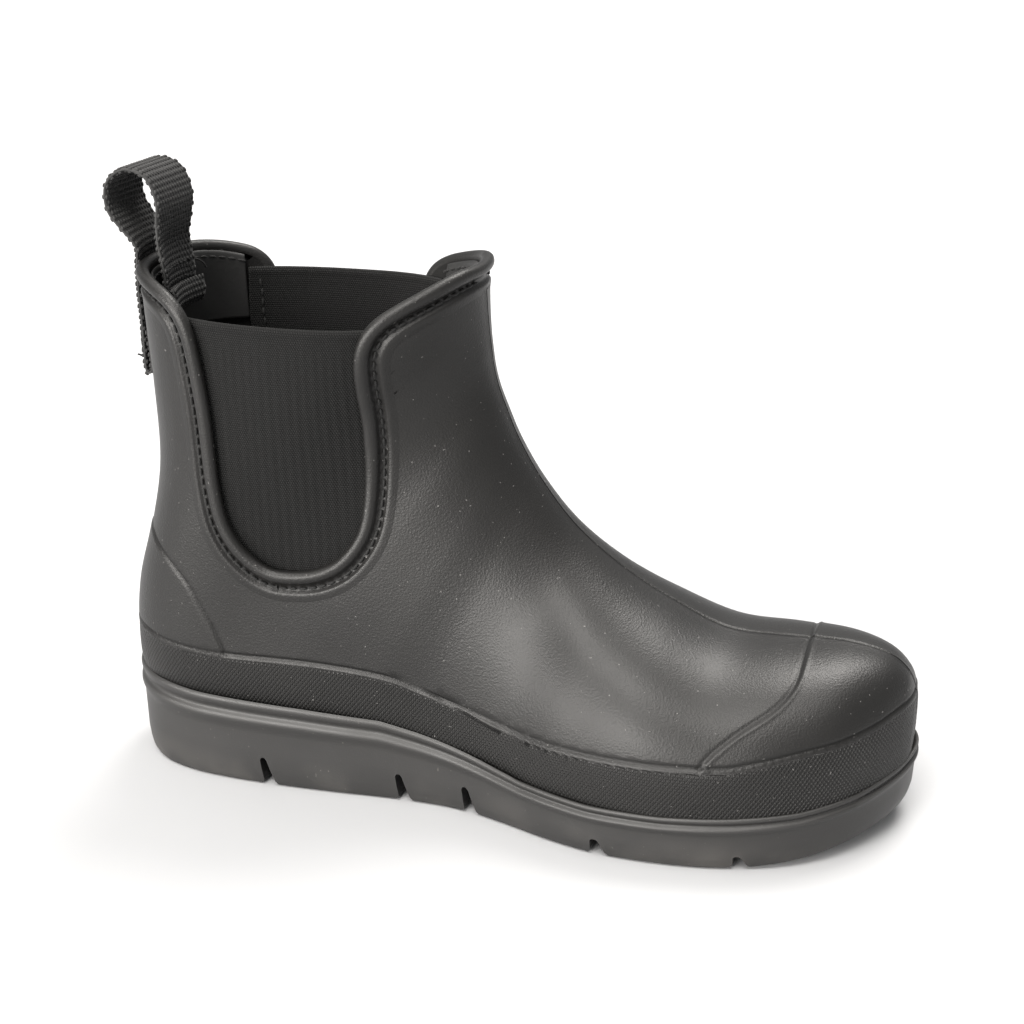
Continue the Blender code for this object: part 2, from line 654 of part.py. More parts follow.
def pull_loop(boot, mat):
    """Webbing bow that stands above the collar and swings about the collar's top edge."""
    px, pz = LOOP_PIVOT
    line = curve_points(BOW_LINE, 4)
    left = beside(line, WEBBING_THICKNESS / 2)
    right = beside(line, -WEBBING_THICKNESS / 2)
    outline = list(left) + list(right[::-1])
    curve = bpy.data.curves.new("pull_loop_bow", "CURVE")
    curve.dimensions = "2D"
    curve.fill_mode = "BOTH"
    curve.extrude = WEBBING_WIDTH / 2 * MM
    spline = curve.splines.new("POLY")
    spline.points.add(len(outline) - 1)
    for knot, (x, z) in zip(spline.points, outline):
        knot.co = (x * MM, z * MM, 0.0, 1.0)
    spline.use_cyclic_u = True
    guide = bpy.data.objects.new("loop_outline", curve)
    boot.cutters.objects.link(guide)
    bpy.context.view_layer.update()
    mesh = bpy.data.meshes.new_from_object(guide.evaluated_get(bpy.context.evaluated_depsgraph_get()))
    bpy.data.objects.remove(guide, do_unlink=True)
    work = bmesh.new()
    work.from_mesh(mesh)
    bmesh.ops.remove_doubles(work, verts=work.verts, dist=1e-6)
    bmesh.ops.recalc_face_normals(work, faces=work.faces)
    work.to_mesh(mesh)
    work.free()
    bow = boot.place("pull_loop_bow", mesh, mat, smooth=False)
    bow.location = (px * MM, 0.0, pz * MM)
    bow.rotation_euler = (math.pi / 2, 0.0, 0.0)
    return bow


def box_stitch(boot, name, low, high, depth, mat):
    """Sewn rectangle of thread on the face of a tail."""
    half = WEBBING_WIDTH / 2 - STITCH_INSET
    corners = [(half, low), (-half, low), (-half, high), (half, high), (half, low)]
    ring = even(corners, step=3.0)[:-1]
    path = [on_end(boot, y, z, depth)[0] for y, z in ring]
    return tube(boot, name, path, THREAD_RADIUS, mat, closed=True, sides=0)


def insole_layer(boot, name, bottom, top, mat):
    """Layer of the footbed between two heights above the inside of the upper."""
    ring = sole_outline()
    xs = [INSOLE_ENDS[0] + (INSOLE_ENDS[1] - INSOLE_ENDS[0]) * (0.5 - 0.5 * math.cos(math.pi * f))
          for f in np.linspace(0.035, 0.965, 18)]
    columns = 7
    layers = []
    for lift in (top, bottom):
        rows = []
        for x in xs:
            low, high = insole_span(ring, x)
            ys = np.linspace(low, high, columns)
            rows.append([(x, y, on_floor(boot, x, y, LINING_DEPTH + GAP) + lift) for y in ys])
        layers.append(rows)
    rows = [[(p, tuple((Vector(p) - Vector(q)) / (top - bottom))) for p, q in zip(*pair)]
            for pair in zip(*layers)]
    return slab(boot, name, rows, top - bottom, mat)


def insole_span(ring, x):
    """Edges of the insole at x: inside the sole's outline, rounded off at the heel and the toe."""
    heel, toe = INSOLE_ENDS
    middle, reach = (heel + toe) / 2, (toe - heel) / 2
    low, high = outline_span(ring, x)
    centre = (low + high) / 2
    half = (high - low) / 2 - INSOLE_MARGIN
    end = 1 - abs((x - middle) / reach) ** 9
    return centre - half * math.sqrt(end), centre + half * math.sqrt(end)


# ---------------------------------------------------------------- assembly

def build():
    """Make every piece of the boot."""
    clear_scene()
    boot = Boot()
    boot.surface = BVHTree.FromPolygons(*outer_surface())
    rubber = material("moulded_rubber", (0.035, 0.034, 0.033), 0.38)
    sole_rubber = material("sole_rubber", (0.03, 0.03, 0.03), 0.5)
    elastic = material("woven_elastic", (0.015, 0.015, 0.016), 0.95)
    smooth_facing = material("collar_facing", (0.03, 0.03, 0.03), 0.55)
    thread = material("sewing_thread", (0.01, 0.01, 0.01), 0.8)
    webbing = material("ribbed_webbing", (0.02, 0.02, 0.022), 0.9)
    foam = material("footbed_foam", (0.05, 0.05, 0.055), 0.9)
    cover = material("footbed_cloth", (0.03, 0.03, 0.032), 0.95)

    upper_shell(boot, rubber)
    outsole(boot, sole_rubber)
    for name, side in (("lateral", -1), ("medial", 1)):
        gore(boot, "gore_" + name, side, elastic)
        seam_thread(boot, "seam_thread_" + name, side, thread)
    for name, edge, towards in (("rear", REAR_FACING_EDGE, -1), ("front", FRONT_FACING_EDGE, 1)):
        facing(boot, "facing_" + name, edge, towards, smooth_facing)
        facing_thread(boot, "facing_thread_" + name, edge, towards, thread)

    inner_depth = LINING_DEPTH + FACING_THICKNESS + 2 * (GAP + THREAD_RADIUS)
    lift = GAP + THREAD_RADIUS
    tail(boot, "pull_loop_outer_tail", OUTER_TAIL, outer_tail_depth, FOLDED_TAIL, webbing)
    tail(boot, "pull_loop_inner_tail", INNER_TAIL, lambda z: inner_depth, WEBBING_THICKNESS, webbing)
    outer_face = outer_tail_depth(OUTER_STITCH[0])
    inner_face = inner_depth + WEBBING_THICKNESS
    box_stitch(boot, "loop_stitch_outer", *OUTER_STITCH, outer_face - lift, thread)
    box_stitch(boot, "loop_stitch_inner", *INNER_STITCH, inner_face + lift, thread)
    pull_loop(boot, webbing)

    insole_layer(boot, "insole_foam", 0.0, FOAM_THICKNESS, foam)
    cover_floor = FOAM_THICKNESS + GAP
    insole_layer(boot, "insole_cover", cover_floor, cover_floor + COVER_THICKNESS, cover)


build()
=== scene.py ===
"""Looks of the ankle-height rubber rain boot: moulded upper, cup sole, elastic gores, stitches,
facings, webbing pull loop and footbed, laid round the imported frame.

The last is drawn in millimetres, as the boot's maker would: +X runs to the toe, +Y to the inner side
of the foot, +Z up from the ground, and Y = 0 is the parting plane of the mould. A point of the upper
is named by (t, angle): t counts the sections from the toe tip round the heel to the top of the shaft,
and the angle runs from the top of a section, 0, towards the inner side, positive.
"""
import logging
import math
from dataclasses import dataclass, field
from enum import Enum

import bmesh
import bpy
import numpy as np
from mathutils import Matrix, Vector
from mathutils.bvhtree import BVHTree


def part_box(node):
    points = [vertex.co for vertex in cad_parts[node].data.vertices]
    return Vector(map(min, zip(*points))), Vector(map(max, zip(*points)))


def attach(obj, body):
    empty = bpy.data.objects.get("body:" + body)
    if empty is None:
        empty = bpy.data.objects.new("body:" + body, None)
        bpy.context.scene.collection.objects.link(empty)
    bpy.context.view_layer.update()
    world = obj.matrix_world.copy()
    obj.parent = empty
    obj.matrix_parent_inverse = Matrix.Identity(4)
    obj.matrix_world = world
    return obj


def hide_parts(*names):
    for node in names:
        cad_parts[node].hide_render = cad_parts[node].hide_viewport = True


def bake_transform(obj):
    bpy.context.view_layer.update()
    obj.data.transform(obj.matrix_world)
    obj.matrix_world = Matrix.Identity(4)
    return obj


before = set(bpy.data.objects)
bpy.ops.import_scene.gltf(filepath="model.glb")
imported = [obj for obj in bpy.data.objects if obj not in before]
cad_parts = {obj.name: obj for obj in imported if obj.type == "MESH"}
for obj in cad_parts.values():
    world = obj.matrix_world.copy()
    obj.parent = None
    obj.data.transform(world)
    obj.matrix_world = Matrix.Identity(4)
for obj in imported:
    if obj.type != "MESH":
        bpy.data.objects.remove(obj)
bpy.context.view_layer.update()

LOG = logging.getLogger("rain_boot")
MM = 0.001
SOLE_HEEL_X = -142.8            # the heel end of the sole's lip on the last


class Side(Enum):
    """Side of the foot; the value is the sign of Y."""

    OUTER = -1
    INNER = 1


class End(Enum):
    """End of the shaft; the value is the sign of X."""

    REAR = -1
    FRONT = 1


# ---------------------------------------------------------------- the last

# Sections of the upper: (x, z) of the bottom and the top point, half-widths of the outer and the inner
# side, where the section is widest (0 bottom, 1 top), and the powers of its upper and lower half.
SECTIONS = np.array([
    (136.5, 33.0, 136.7, 41.5, 4.0, 4.5, 0.45, 2.0, 2.2),
    (135.8, 24.5, 136.1, 47.2, 9.4, 13.2, 0.36, 2.2, 2.8),
    (132.3, 18.0, 133.3, 54.2, 17.0, 19.6, 0.32, 2.35, 3.6),
    (125.0, 14.2, 126.0, 59.6, 27.8, 27.4, 0.27, 2.45, 4.4),
    (112.0, 11.8, 113.0, 62.4, 40.7, 35.3, 0.24, 2.5, 5.0),
    (94.0, 10.2, 94.5, 62.6, 50.0, 41.4, 0.24, 2.5, 5.4),
    (72.0, 9.8, 73.0, 63.2, 54.8, 44.2, 0.24, 2.4, 5.6),
    (48.0, 10.0, 53.0, 71.5, 55.3, 43.4, 0.24, 2.25, 5.6),
    (22.0, 11.5, 35.0, 81.7, 49.8, 39.4, 0.24, 2.15, 5.4),
    (-5.0, 14.5, 19.0, 94.6, 39.6, 35.6, 0.25, 2.1, 5.4),
    (-32.0, 17.5, 7.0, 109.6, 35.9, 33.8, 0.27, 2.05, 5.2),
    (-60.0, 19.5, -1.2, 123.6, 36.2, 34.2, 0.31, 2.05, 5.0),
    (-88.0, 20.0, -6.0, 135.0, 36.6, 35.2, 0.34, 2.05, 4.9),
    (-113.0, 20.5, -8.7, 142.5, 36.5, 35.8, 0.37, 2.05, 4.4),
    (-131.0, 22.8, -10.2, 149.0, 36.6, 36.0, 0.40, 2.05, 3.3),
    (-139.4, 31.5, -11.0, 155.0, 37.0, 36.4, 0.42, 2.05, 2.7),
    (-141.2, 47.0, -11.5, 159.0, 37.6, 37.3, 0.44, 2.05, 2.45),
    (-139.4, 65.0, -11.9, 163.0, 38.2, 38.2, 0.46, 2.05, 2.4),
    (-133.6, 86.0, -12.3, 168.0, 39.2, 39.4, 0.49, 2.05, 2.45),
    (-129.0, 110.0, -12.6, 173.5, 40.5, 40.9, 0.52, 2.05, 2.5),
    (-129.4, 138.0, -12.8, 179.5, 41.5, 42.0, 0.55, 2.05, 2.55),
    (-131.2, 165.0, -13.0, 187.0, 42.2, 42.8, 0.57, 2.05, 2.6),
    (-132.6, 190.0, -13.0, 195.0, 42.4, 43.0, 0.58, 2.05, 2.6),
])

# Centre line of the rim in the side view, from the front of the collar to its back: (x, z)
RIM_FRONT = {
    Side.OUTER: [(-13.0, 183.2), (-18.0, 181.4), (-24.6, 178.0), (-32.0, 174.0), (-38.2, 169.8),
                 (-42.2, 164.6)],
    Side.INNER: [(-13.0, 183.2), (-18.5, 181.2), (-26.0, 178.6), (-34.6, 175.4), (-40.6, 171.6),
                 (-43.8, 166.0)],
}
WINDOW = [(-44.2, 158.0), (-44.4, 148.0), (-43.6, 136.0), (-43.4, 122.0), (-44.0, 108.5),
          (-45.6, 98.6), (-49.4, 91.2), (-55.0, 85.2), (-62.2, 81.4), (-70.0, 79.8), (-78.4, 80.0),
          (-84.8, 83.2), (-91.0, 89.4), (-95.6, 98.0), (-98.2, 110.0), (-99.4, 122.0),
          (-100.6, 137.0), (-103.0, 153.0)]
RIM_REAR = {
    Side.OUTER: [(-105.0, 162.0), (-108.2, 168.6), (-113.4, 173.2), (-120.0, 175.9),
                 (-126.6, 177.6), (-132.0, 178.6)],
    Side.INNER: [(-103.4, 161.0), (-105.2, 168.6), (-110.0, 173.6), (-117.6, 176.2),
                 (-125.6, 177.8), (-132.0, 178.6)],
}

# Lines moulded into the upper, in the side view: (x, z)
BAND_TOP = [(-150.0, 52.5), (-132.5, 50.8), (-117.0, 49.1), (-97.8, 48.3), (-66.7, 48.8),
            (-40.2, 46.9), (-25.8, 42.9), (-11.3, 38.9), (4.0, 35.4), (20.0, 34.5), (49.0, 34.9),
            (78.0, 35.3), (90.0, 37.3), (104.4, 40.3), (115.3, 42.0), (125.5, 44.3), (132.1, 46.6),
            (145.0, 49.5)]
TOE_CAP = [(100.5, 66.0), (101.0, 61.4), (99.6, 56.8), (94.5, 52.0), (84.6, 46.0), (76.6, 39.5),
           (73.6, 35.2)]
HEEL_COUNTER = [(-146.0, 93.0), (-136.0, 90.0), (-126.1, 85.6), (-112.3, 74.6), (-104.5, 63.0),
                (-99.8, 53.8), (-97.6, 48.0)]
BAND_FOLD = [(68.0, 35.6), (72.4, 24.0)]

# Outline of the sole at its lip, from the heel along the outer side to the toe and back: (x, y)
SOLE_OUTLINE = [
    (-142.8, 0.0), (-141.0, -11.0), (-135.8, -20.8), (-126.4, -29.4), (-113.0, -34.8),
    (-97.0, -37.2), (-78.0, -38.0), (-58.0, -37.8), (-38.0, -37.0), (-20.0, -37.6), (-6.0, -40.6),
    (8.0, -45.8), (22.0, -51.4), (36.0, -55.4), (50.0, -57.0), (65.0, -57.0), (80.0, -55.2),
    (95.0, -51.2), (108.0, -45.2), (119.5, -36.2), (129.0, -24.4), (135.8, -11.2), (138.4, 2.0),
    (136.4, 14.0), (129.8, 24.8), (119.0, 33.2), (104.0, 40.0), (86.0, 44.4), (66.0, 46.0),
    (45.0, 44.8), (22.0, 41.0), (0.0, 37.4), (-22.0, 35.4), (-45.0, 35.2), (-70.0, 36.2),
    (-92.0, 36.6), (-110.0, 34.0), (-124.6, 28.0), (-135.2, 19.2), (-141.4, 10.0)]
LIP = [(-144.0, 34.6), (-110.0, 32.6), (-70.0, 31.6), (-41.0, 30.2), (-27.0, 27.4), (-12.0, 24.0),
       (0.0, 21.4), (11.0, 19.4), (36.0, 18.2), (60.0, 18.2), (84.0, 19.2), (105.0, 20.6),
       (122.0, 23.0), (138.4, 27.5)]

# x of the side edges of the facings
FACING_EDGE = {End.REAR: -112.5, End.FRONT: -34.5}


def through(knots: np.ndarray, t: np.ndarray) -> np.ndarray:
    """Catmull-Rom curve through the knots.

    Args:
        knots: one row per knot.
        t: positions along the curve, counted in knots.
    Returns:
        One row per position.
    """
    knots = np.asarray(knots, float)
    t = np.clip(np.asarray(t, float), 0, len(knots) - 1)
    i = np.minimum(t.astype(int), len(knots) - 2)
    f = (t - i)[..., None]
    a, b = knots[i], knots[i + 1]
    before = np.where((i > 0)[..., None], knots[np.maximum(i - 1, 0)], 2 * a - b)
    after = np.where((i + 2 < len(knots))[..., None], knots[np.minimum(i + 2, len(knots) - 1)],
                     2 * b - a)
    ta, tb = (b - before) / 2, (after - a) / 2
    return ((2 * f ** 3 - 3 * f ** 2 + 1) * a + (f ** 3 - 2 * f ** 2 + f) * ta
            + (3 * f ** 2 - 2 * f ** 3) * b + (f ** 3 - f ** 2) * tb)


def smooth_line(knots: list, per_span: int = 8) -> np.ndarray:
    """Points along the Catmull-Rom curve through the knots, one row per point."""
    return through(knots, np.linspace(0, len(knots) - 1, (len(knots) - 1) * per_span + 1))


def even(points: np.ndarray, count: int = 0, step: float = 0.0) -> np.ndarray:
    """The polyline with its points spaced evenly along it.

    Args:
        points: one row per point.
        count: how many points to give, or 0 to use the step.
        step: length of a step.
    Returns:
        The evenly spaced points.
    """
    points = np.asarray(points, float)
    run = arc_length(points)
    count = count or max(2, round(run[-1] / step) + 1)
    at = np.linspace(0, run[-1], count)
    return np.stack([np.interp(at, run, column) for column in points.T], 1)


def arc_length(points: np.ndarray) -> np.ndarray:
    """Length along the polyline at each of its points."""
    return np.concatenate([[0], np.cumsum(np.linalg.norm(np.diff(points, axis=0), axis=1))])


def beside(line: np.ndarray, distance: float) -> np.ndarray:
    """The side view line moved sideways, towards the moulded wall for a positive distance.

    Args:
        line: one row (x, z) per point.
        distance: how far.
    Returns:
        The moved line.
    """
    tangent = np.gradient(line, axis=0)
    tangent /= np.linalg.norm(tangent, axis=1)[:, None]
    return line + distance * np.stack([-tangent[:, 1], tangent[:, 0]], 1)


def nearest_on(line: np.ndarray, points: np.ndarray) -> tuple[np.ndarray, np.ndarray]:
    """Nearest places of a polyline.

    Args:
        line: one row (x, z) per point of the polyline.
        points: one row (x, z) per point asked about.
    Returns:
        The nearest places, and the signed distances, positive on the left of the line.
    """
    a, ab = line[:-1], np.diff(line, axis=0)
    best = np.full(len(points), np.inf)
    place, signed = np.zeros_like(points), np.zeros(len(points))
    for start, run in zip(a, ab):
        rel = points - start
        f = np.clip(rel @ run / (run @ run), 0, 1)
        foot = start + f[:, None] * run
        gap = points - foot
        d = np.hypot(gap[:, 0], gap[:, 1])
        closer = d < best
        cross = run[0] * rel[:, 1] - run[1] * rel[:, 0]
        best[closer] = d[closer]
        place[closer] = foot[closer]
        signed[closer] = (np.sign(cross) * d)[closer]
    return place, signed


def inside(outline: np.ndarray, points: np.ndarray) -> np.ndarray:
    """Which of the points (x, z) lie in the closed outline.

    Args:
        outline: one row (x, z) per corner.
        points: one row (x, z) per point.
    Returns:
        One flag per point.
    """
    x, z = points[:, 0], points[:, 1]
    result = np.zeros(len(points), bool)
    for (xa, za), (xb, zb) in zip(outline, np.roll(outline, -1, axis=0)):
        if za == zb:
            continue
        spans = (za > z) != (zb > z)
        result ^= spans & (x < xa + (z - za) * (xb - xa) / (zb - za))
    return result


def step_up(value: np.ndarray, low: float, high: float) -> np.ndarray:
    """0 below low, 1 above high, and smooth between."""
    f = np.clip((value - low) / (high - low), 0, 1)
    return f * f * (3 - 2 * f)


def hump(value: np.ndarray, centre: float, half: float) -> np.ndarray:
    """1 at the centre, falling smoothly to 0 at half on both sides."""
    f = np.clip(1 - np.abs(value - centre) / half, 0, 1)
    return f * f * (3 - 2 * f)


class Last:
    """The shape that the boot is moulded over, placed in the row frame."""

    def __init__(self) -> None:
        """Find where the last lies from the sole and the pull loop of the frame."""
        sole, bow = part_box("outsole"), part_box("pull_loop_bow")
        self.origin = np.array([sole[0].x / MM - SOLE_HEEL_X, (bow[0].y + bow[1].y) / 2 / MM, 0.0])
        self.table = np.linspace(0, len(SECTIONS) - 1, 1500)
        self.rows = through(SECTIONS, self.table)
        t, angle = np.meshgrid(self.spaced(120, 2.0), np.linspace(0, 2 * math.pi, 97)[:-1],
                               indexing="ij")
        points = self.at(t, angle).reshape(-1, 3)
        self.solid = BVHTree.FromPolygons([tuple(p) for p in points],
                                          grid_faces(*t.shape, closed=True))

    def spaced(self, count: int, front: float = 1.0) -> np.ndarray:
        """Section positions spaced evenly along the boot's longest run, or closer in front.

        Args:
            count: how many sections.
            front: how many times closer the first sections lie.
        Returns:
            The values of t.
        """
        bottom, top = self.rows[:, 0:2], self.rows[:, 2:4]
        pace = np.maximum(np.linalg.norm(np.diff(bottom, axis=0), axis=1),
                          np.linalg.norm(np.diff(top, axis=0), axis=1))
        half = np.diff(self.rows[:, 4])
        pace = np.hypot(pace, half) * np.interp(self.table[1:], [0, 4], [front, 1])
        run = np.concatenate([[0], np.cumsum(pace)])
        return np.interp(np.linspace(0, run[-1], count), run, self.table)

    def at(self, t: np.ndarray, angle: np.ndarray) -> np.ndarray:
        """Points of the upper's outer surface.

        Args:
            t: section positions.
            angle: angles round the sections.
        Returns:
            The points on the last.
        """
        bx, bz, tx, tz, outer, inner, widest, top_power, bottom_power = np.moveaxis(
            through(SECTIONS, t), -1, 0)
        c, s = np.cos(angle), np.sin(angle)
        power = np.where(c >= 0, top_power, bottom_power)
        along = np.abs(c) ** (2 / power)
        u = np.where(c >= 0, widest + (1 - widest) * along, widest * (1 - along))
        half = np.where(s >= 0, inner, -outer) * np.abs(s) ** (2 / power)
        return np.stack([bx + u * (tx - bx), half, bz + u * (tz - bz)], -1)

    def normals(self, t: np.ndarray, angle: np.ndarray) -> np.ndarray:
        """Unit outward normals of the outer surface.

        Args:
            t: section positions.
            angle: angles round the sections.
        Returns:
            The normals.
        """
        e = 2e-3
        across = self.at(t, angle + e) - self.at(t, angle - e)
        last = len(SECTIONS) - 1
        along = self.at(np.minimum(t + e, last), angle) - self.at(np.maximum(t - e, 0), angle)
        normal = np.cross(across, along)
        return normal / np.maximum(np.linalg.norm(normal, axis=-1, keepdims=True), 1e-12)

    def lifted(self, t: np.ndarray, angle: np.ndarray, height: np.ndarray) -> np.ndarray:
        """Points at a height above the outer surface; a depth is negative."""
        return self.at(t, angle) + self.normals(t, angle) * np.asarray(height)[..., None]

    def locate(self, points: np.ndarray, side: Side) -> tuple[np.ndarray, np.ndarray]:
        """The places of side view points on the surface.

        Args:
            points: one row (x, z) per point.
            side: which side of the boot.
        Returns:
            t and the angle of each.
        """
        b, d = self.rows[:, 0:2], self.rows[:, 2:4] - self.rows[:, 0:2]
        rel = points[:, None, :] - b[None]
        g = rel[..., 0] * d[:, 1] - rel[..., 1] * d[:, 0]
        change = g[:, :-1] * g[:, 1:] <= 0
        i = np.argmax(change, axis=1)
        k = np.arange(len(points))
        ga, gb = g[k, i], g[k, i + 1]
        f = np.where(ga == gb, 0, ga / np.where(ga == gb, 1, ga - gb))
        t = self.table[i] + f * (self.table[i + 1] - self.table[i])
        t = np.where(change.any(axis=1), t, len(SECTIONS) - 1)
        bx, bz, tx, tz, _, _, widest, top_power, bottom_power = through(SECTIONS, t).T
        dx, dz = tx - bx, tz - bz
        u = ((points[:, 0] - bx) * dx + (points[:, 1] - bz) * dz) / (dx * dx + dz * dz)
        u = np.clip(u, 0, 1)
        upper = np.clip((u - widest) / (1 - widest), 0, 1) ** (top_power / 2)
        lower = -np.clip(1 - u / widest, 0, 1) ** (bottom_power / 2)
        return t, side.value * np.arccos(np.clip(np.where(u >= widest, upper, lower), -1, 1))

    def at_height(self, angle: np.ndarray, height: np.ndarray) -> np.ndarray:
        """Section positions on the shaft where the surface has the given heights at the angles.

        Args:
            angle: angles round the shaft.
            height: the height wanted at each.
        Returns:
            t at each angle.
        """
        shaft = self.table[self.table > 13.0]
        heights = self.at(shaft[None, :], np.asarray(angle)[:, None])[..., 2]
        return np.array([np.interp(h, row, shaft) for h, row in zip(height, heights)])

    def floor(self, x: float, y: float) -> float:
        """Height of the upper's outer bottom at x and y."""
        hit = self.solid.ray_cast(Vector((x, y, -50.0)), Vector((0, 0, 1)))[0]
        return hit.z if hit else 20.0

    def place(self, points: np.ndarray) -> np.ndarray:
        """Points of the last in the row frame, in metres."""
        return (np.asarray(points, float) + self.origin) * MM


def rim_line(side: Side) -> np.ndarray:
    """Centre line of the rim in the side view, from the front of the collar to its back."""
    return even(smooth_line(RIM_FRONT[side] + WINDOW + RIM_REAR[side]), step=1.0)


# ---------------------------------------------------------------- meshes

def grid_faces(rows: int, columns: int, closed: bool = False) -> list:
    """Quads of a grid of points.

    Args:
        rows: number of rows.
        columns: points in a row.
        closed: whether each row is a ring.
    Returns:
        Four indices per quad.
    """
    r, c = np.meshgrid(np.arange(rows - 1), np.arange(columns if closed else columns - 1),
                       indexing="ij")
    n = (c + 1) % columns
    quads = np.stack([r * columns + c, r * columns + n, (r + 1) * columns + n,
                      (r + 1) * columns + c], -1)
    return quads.reshape(-1, 4).tolist()


@dataclass
class Piece:
    """A finished mesh with the body it rides on, its material slot and what it stands for."""

    name: str
    item: bpy.types.Object
    body: str
    slot: str
    stands_for: list = field(default_factory=list)

    def hand_over(self) -> bpy.types.Object:
        """Hang the piece on its body's empty and hide the frame's parts that it stands for.

        Returns:
            The object.
        """
        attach(self.item, self.body)
        if self.stands_for:
            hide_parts(*self.stands_for)
        count = sum(len(p.vertices) - 2 for p in self.item.data.polygons)
        LOG.info("%s: %d triangles, rides on %s", self.name, count, self.body)
        return self.item


def new_object(name: str, points: np.ndarray, faces: list, material: bpy.types.Material,
               outward: bool = True, edges: list | None = None) -> bpy.types.Object:
    """Object from points in metres.

    Args:
        name: the object's name.
        points: one row per vertex.
        faces: indices of each face.
        material: its finish.
        outward: whether to turn a closed mesh's faces outwards.
        edges: loose edges, for a path.
    Returns:
        The linked object, smooth shaded.
    """
    mesh = bpy.data.meshes.new(name)
    mesh.from_pydata([tuple(p) for p in points], edges or [], faces)
    mesh.materials.append(material)
    if outward and faces:
        work = bmesh.new()
        work.from_mesh(mesh)
        bmesh.ops.recalc_face_normals(work, faces=work.faces)
        work.to_mesh(mesh)
        work.free()
    mesh.shade_smooth()
    item = bpy.data.objects.new(name, mesh)
    bpy.context.scene.collection.objects.link(item)
    return item


def store(item: bpy.types.Object, name: str, values: np.ndarray) -> None:
    """Store one number or one vector per vertex under a name.

    Args:
        item: the object.
        name: the attribute's name.
        values: one value or one row of three per vertex.
    """
    vector = np.ndim(values) == 2
    kind = "FLOAT_VECTOR" if vector else "FLOAT"
    attribute = item.data.attributes.new(name, kind, "POINT")
    attribute.data.foreach_set("vector" if vector else "value",
                               np.asarray(values, np.float32).ravel())


def join(name: str, items: list) -> bpy.types.Object:
    """Join objects into the first one.

    Args:
        name: name of the result.
        items: the objects.
    Returns:
        The joined object.
    """
    with bpy.context.temp_override(active_object=items[0], object=items[0],
                                   selected_editable_objects=items, selected_objects=items):
        bpy.ops.object.join()
    items[0].name = name
    return items[0]


def sweep(name: str, rings: np.ndarray, material: bpy.types.Material,
          closed: bool = False, caps: bool = True) -> bpy.types.Object:
    """Skin rings of points that follow one another.

    Args:
        name: the object's name.
        rings: array (rings, points, 3) in metres.
        material: its finish.
        closed: whether the last ring joins the first.
        caps: whether to close the two ends.
    Returns:
        The object.
    """
    count, around = rings.shape[:2]
    if closed:
        rings = np.concatenate([rings, rings[:1]])
    faces = grid_faces(len(rings), around, closed=True)
    if closed:
        faces = [[i % (count * around) for i in f] for f in faces]
        rings = rings[:-1]
    elif caps:
        faces.append(list(range(around))[::-1])
        faces.append(list(range((count - 1) * around, count * around)))
    return new_object(name, rings.reshape(-1, 3), faces, material)


# ---------------------------------------------------------------- finishes

class Nodes:
    """Small helper that adds shader nodes to one material."""

    def __init__(self, name: str) -> None:
        """Start a material with its Principled shader.

        Args:
            name: the material's name.
        """
        self.material = bpy.data.materials.new(name)
        self.material.use_nodes = True
        self.tree = self.material.node_tree
        self.shader = self.tree.nodes["Principled BSDF"]

    def add(self, kind: str, inputs: dict | None = None, **settings: object) -> bpy.types.Node:
        """Add a node.

        Args:
            kind: the node's type.
            inputs: socket name or index to a value or an output socket.
            settings: the node's own settings.
        Returns:
            The node.
        """
        node = self.tree.nodes.new(kind)
        for key, value in settings.items():
            setattr(node, key, value)
        for key, value in (inputs or {}).items():
            self.feed(node.inputs[key], value)
        return node

    def feed(self, socket: bpy.types.NodeSocket, value: object) -> None:
        """Link an output to the socket, or set its value.

        Args:
            socket: the input to fill.
            value: a plain value or an output socket.
        """
        if isinstance(value, bpy.types.NodeSocket):
            self.tree.links.new(value, socket)
        else:
            socket.default_value = value

    def math(self, operation: str, *values: object) -> bpy.types.NodeSocket:
        """Result of a math node."""
        return self.add("ShaderNodeMath", dict(enumerate(values)), operation=operation).outputs[0]

    def attribute(self, name: str, output: str = "Fac") -> bpy.types.NodeSocket:
        """A stored value of the piece."""
        return self.add("ShaderNodeAttribute", attribute_name=name).outputs[output]

    def place(self) -> bpy.types.NodeSocket:
        """Object coordinates."""
        return self.add("ShaderNodeTexCoord").outputs["Object"]

    def noise(self, scale: float, detail: float = 3.0, where: object = None) -> bpy.types.NodeSocket:
        """Value of a noise texture with so many grains to the metre."""
        return self.add("ShaderNodeTexNoise", {"Vector": where or self.place(), "Scale": scale,
                                               "Detail": detail}).outputs["Fac"]

    def ramp(self, value: object, low: float, high: float, to_low: float = 0.0,
             to_high: float = 1.0) -> bpy.types.NodeSocket:
        """Map a value from one range to another, clamped."""
        return self.add("ShaderNodeMapRange", {"Value": value, "From Min": low, "From Max": high,
                                               "To Min": to_low, "To Max": to_high}).outputs[0]

    def mix(self, share: object, a: tuple, b: object) -> bpy.types.NodeSocket:
        """Mix of two colours.

        Args:
            share: share of the second colour.
            a: the first colour.
            b: the second colour.
        Returns:
            The colour.
        """
        node = self.add("ShaderNodeMix", data_type="RGBA")
        for socket, value in zip((node.inputs[0], node.inputs[6], node.inputs[7]), (share, a, b)):
            self.feed(socket, value)
        return node.outputs[2]

    def bump(self, height: object, distance: float, strength: float = 1.0,
             under: object = None) -> bpy.types.NodeSocket:
        """Bump from a height of 0 to 1 that stands for a distance in metres.

        Args:
            height: the height.
            distance: what a height of 1 stands for.
            strength: strength of the effect.
            under: normal that it adds to.
        Returns:
            The normal.
        """
        inputs = {"Height": height, "Distance": distance, "Strength": strength}
        if under:
            inputs["Normal"] = under
        return self.add("ShaderNodeBump", inputs).outputs[0]


def grey(level: float, warm: float = 0.0) -> tuple:
    """Nearly neutral colour, warmer for a positive value."""
    return (level * (1 + warm), level, level * (1 - warm), 1.0)


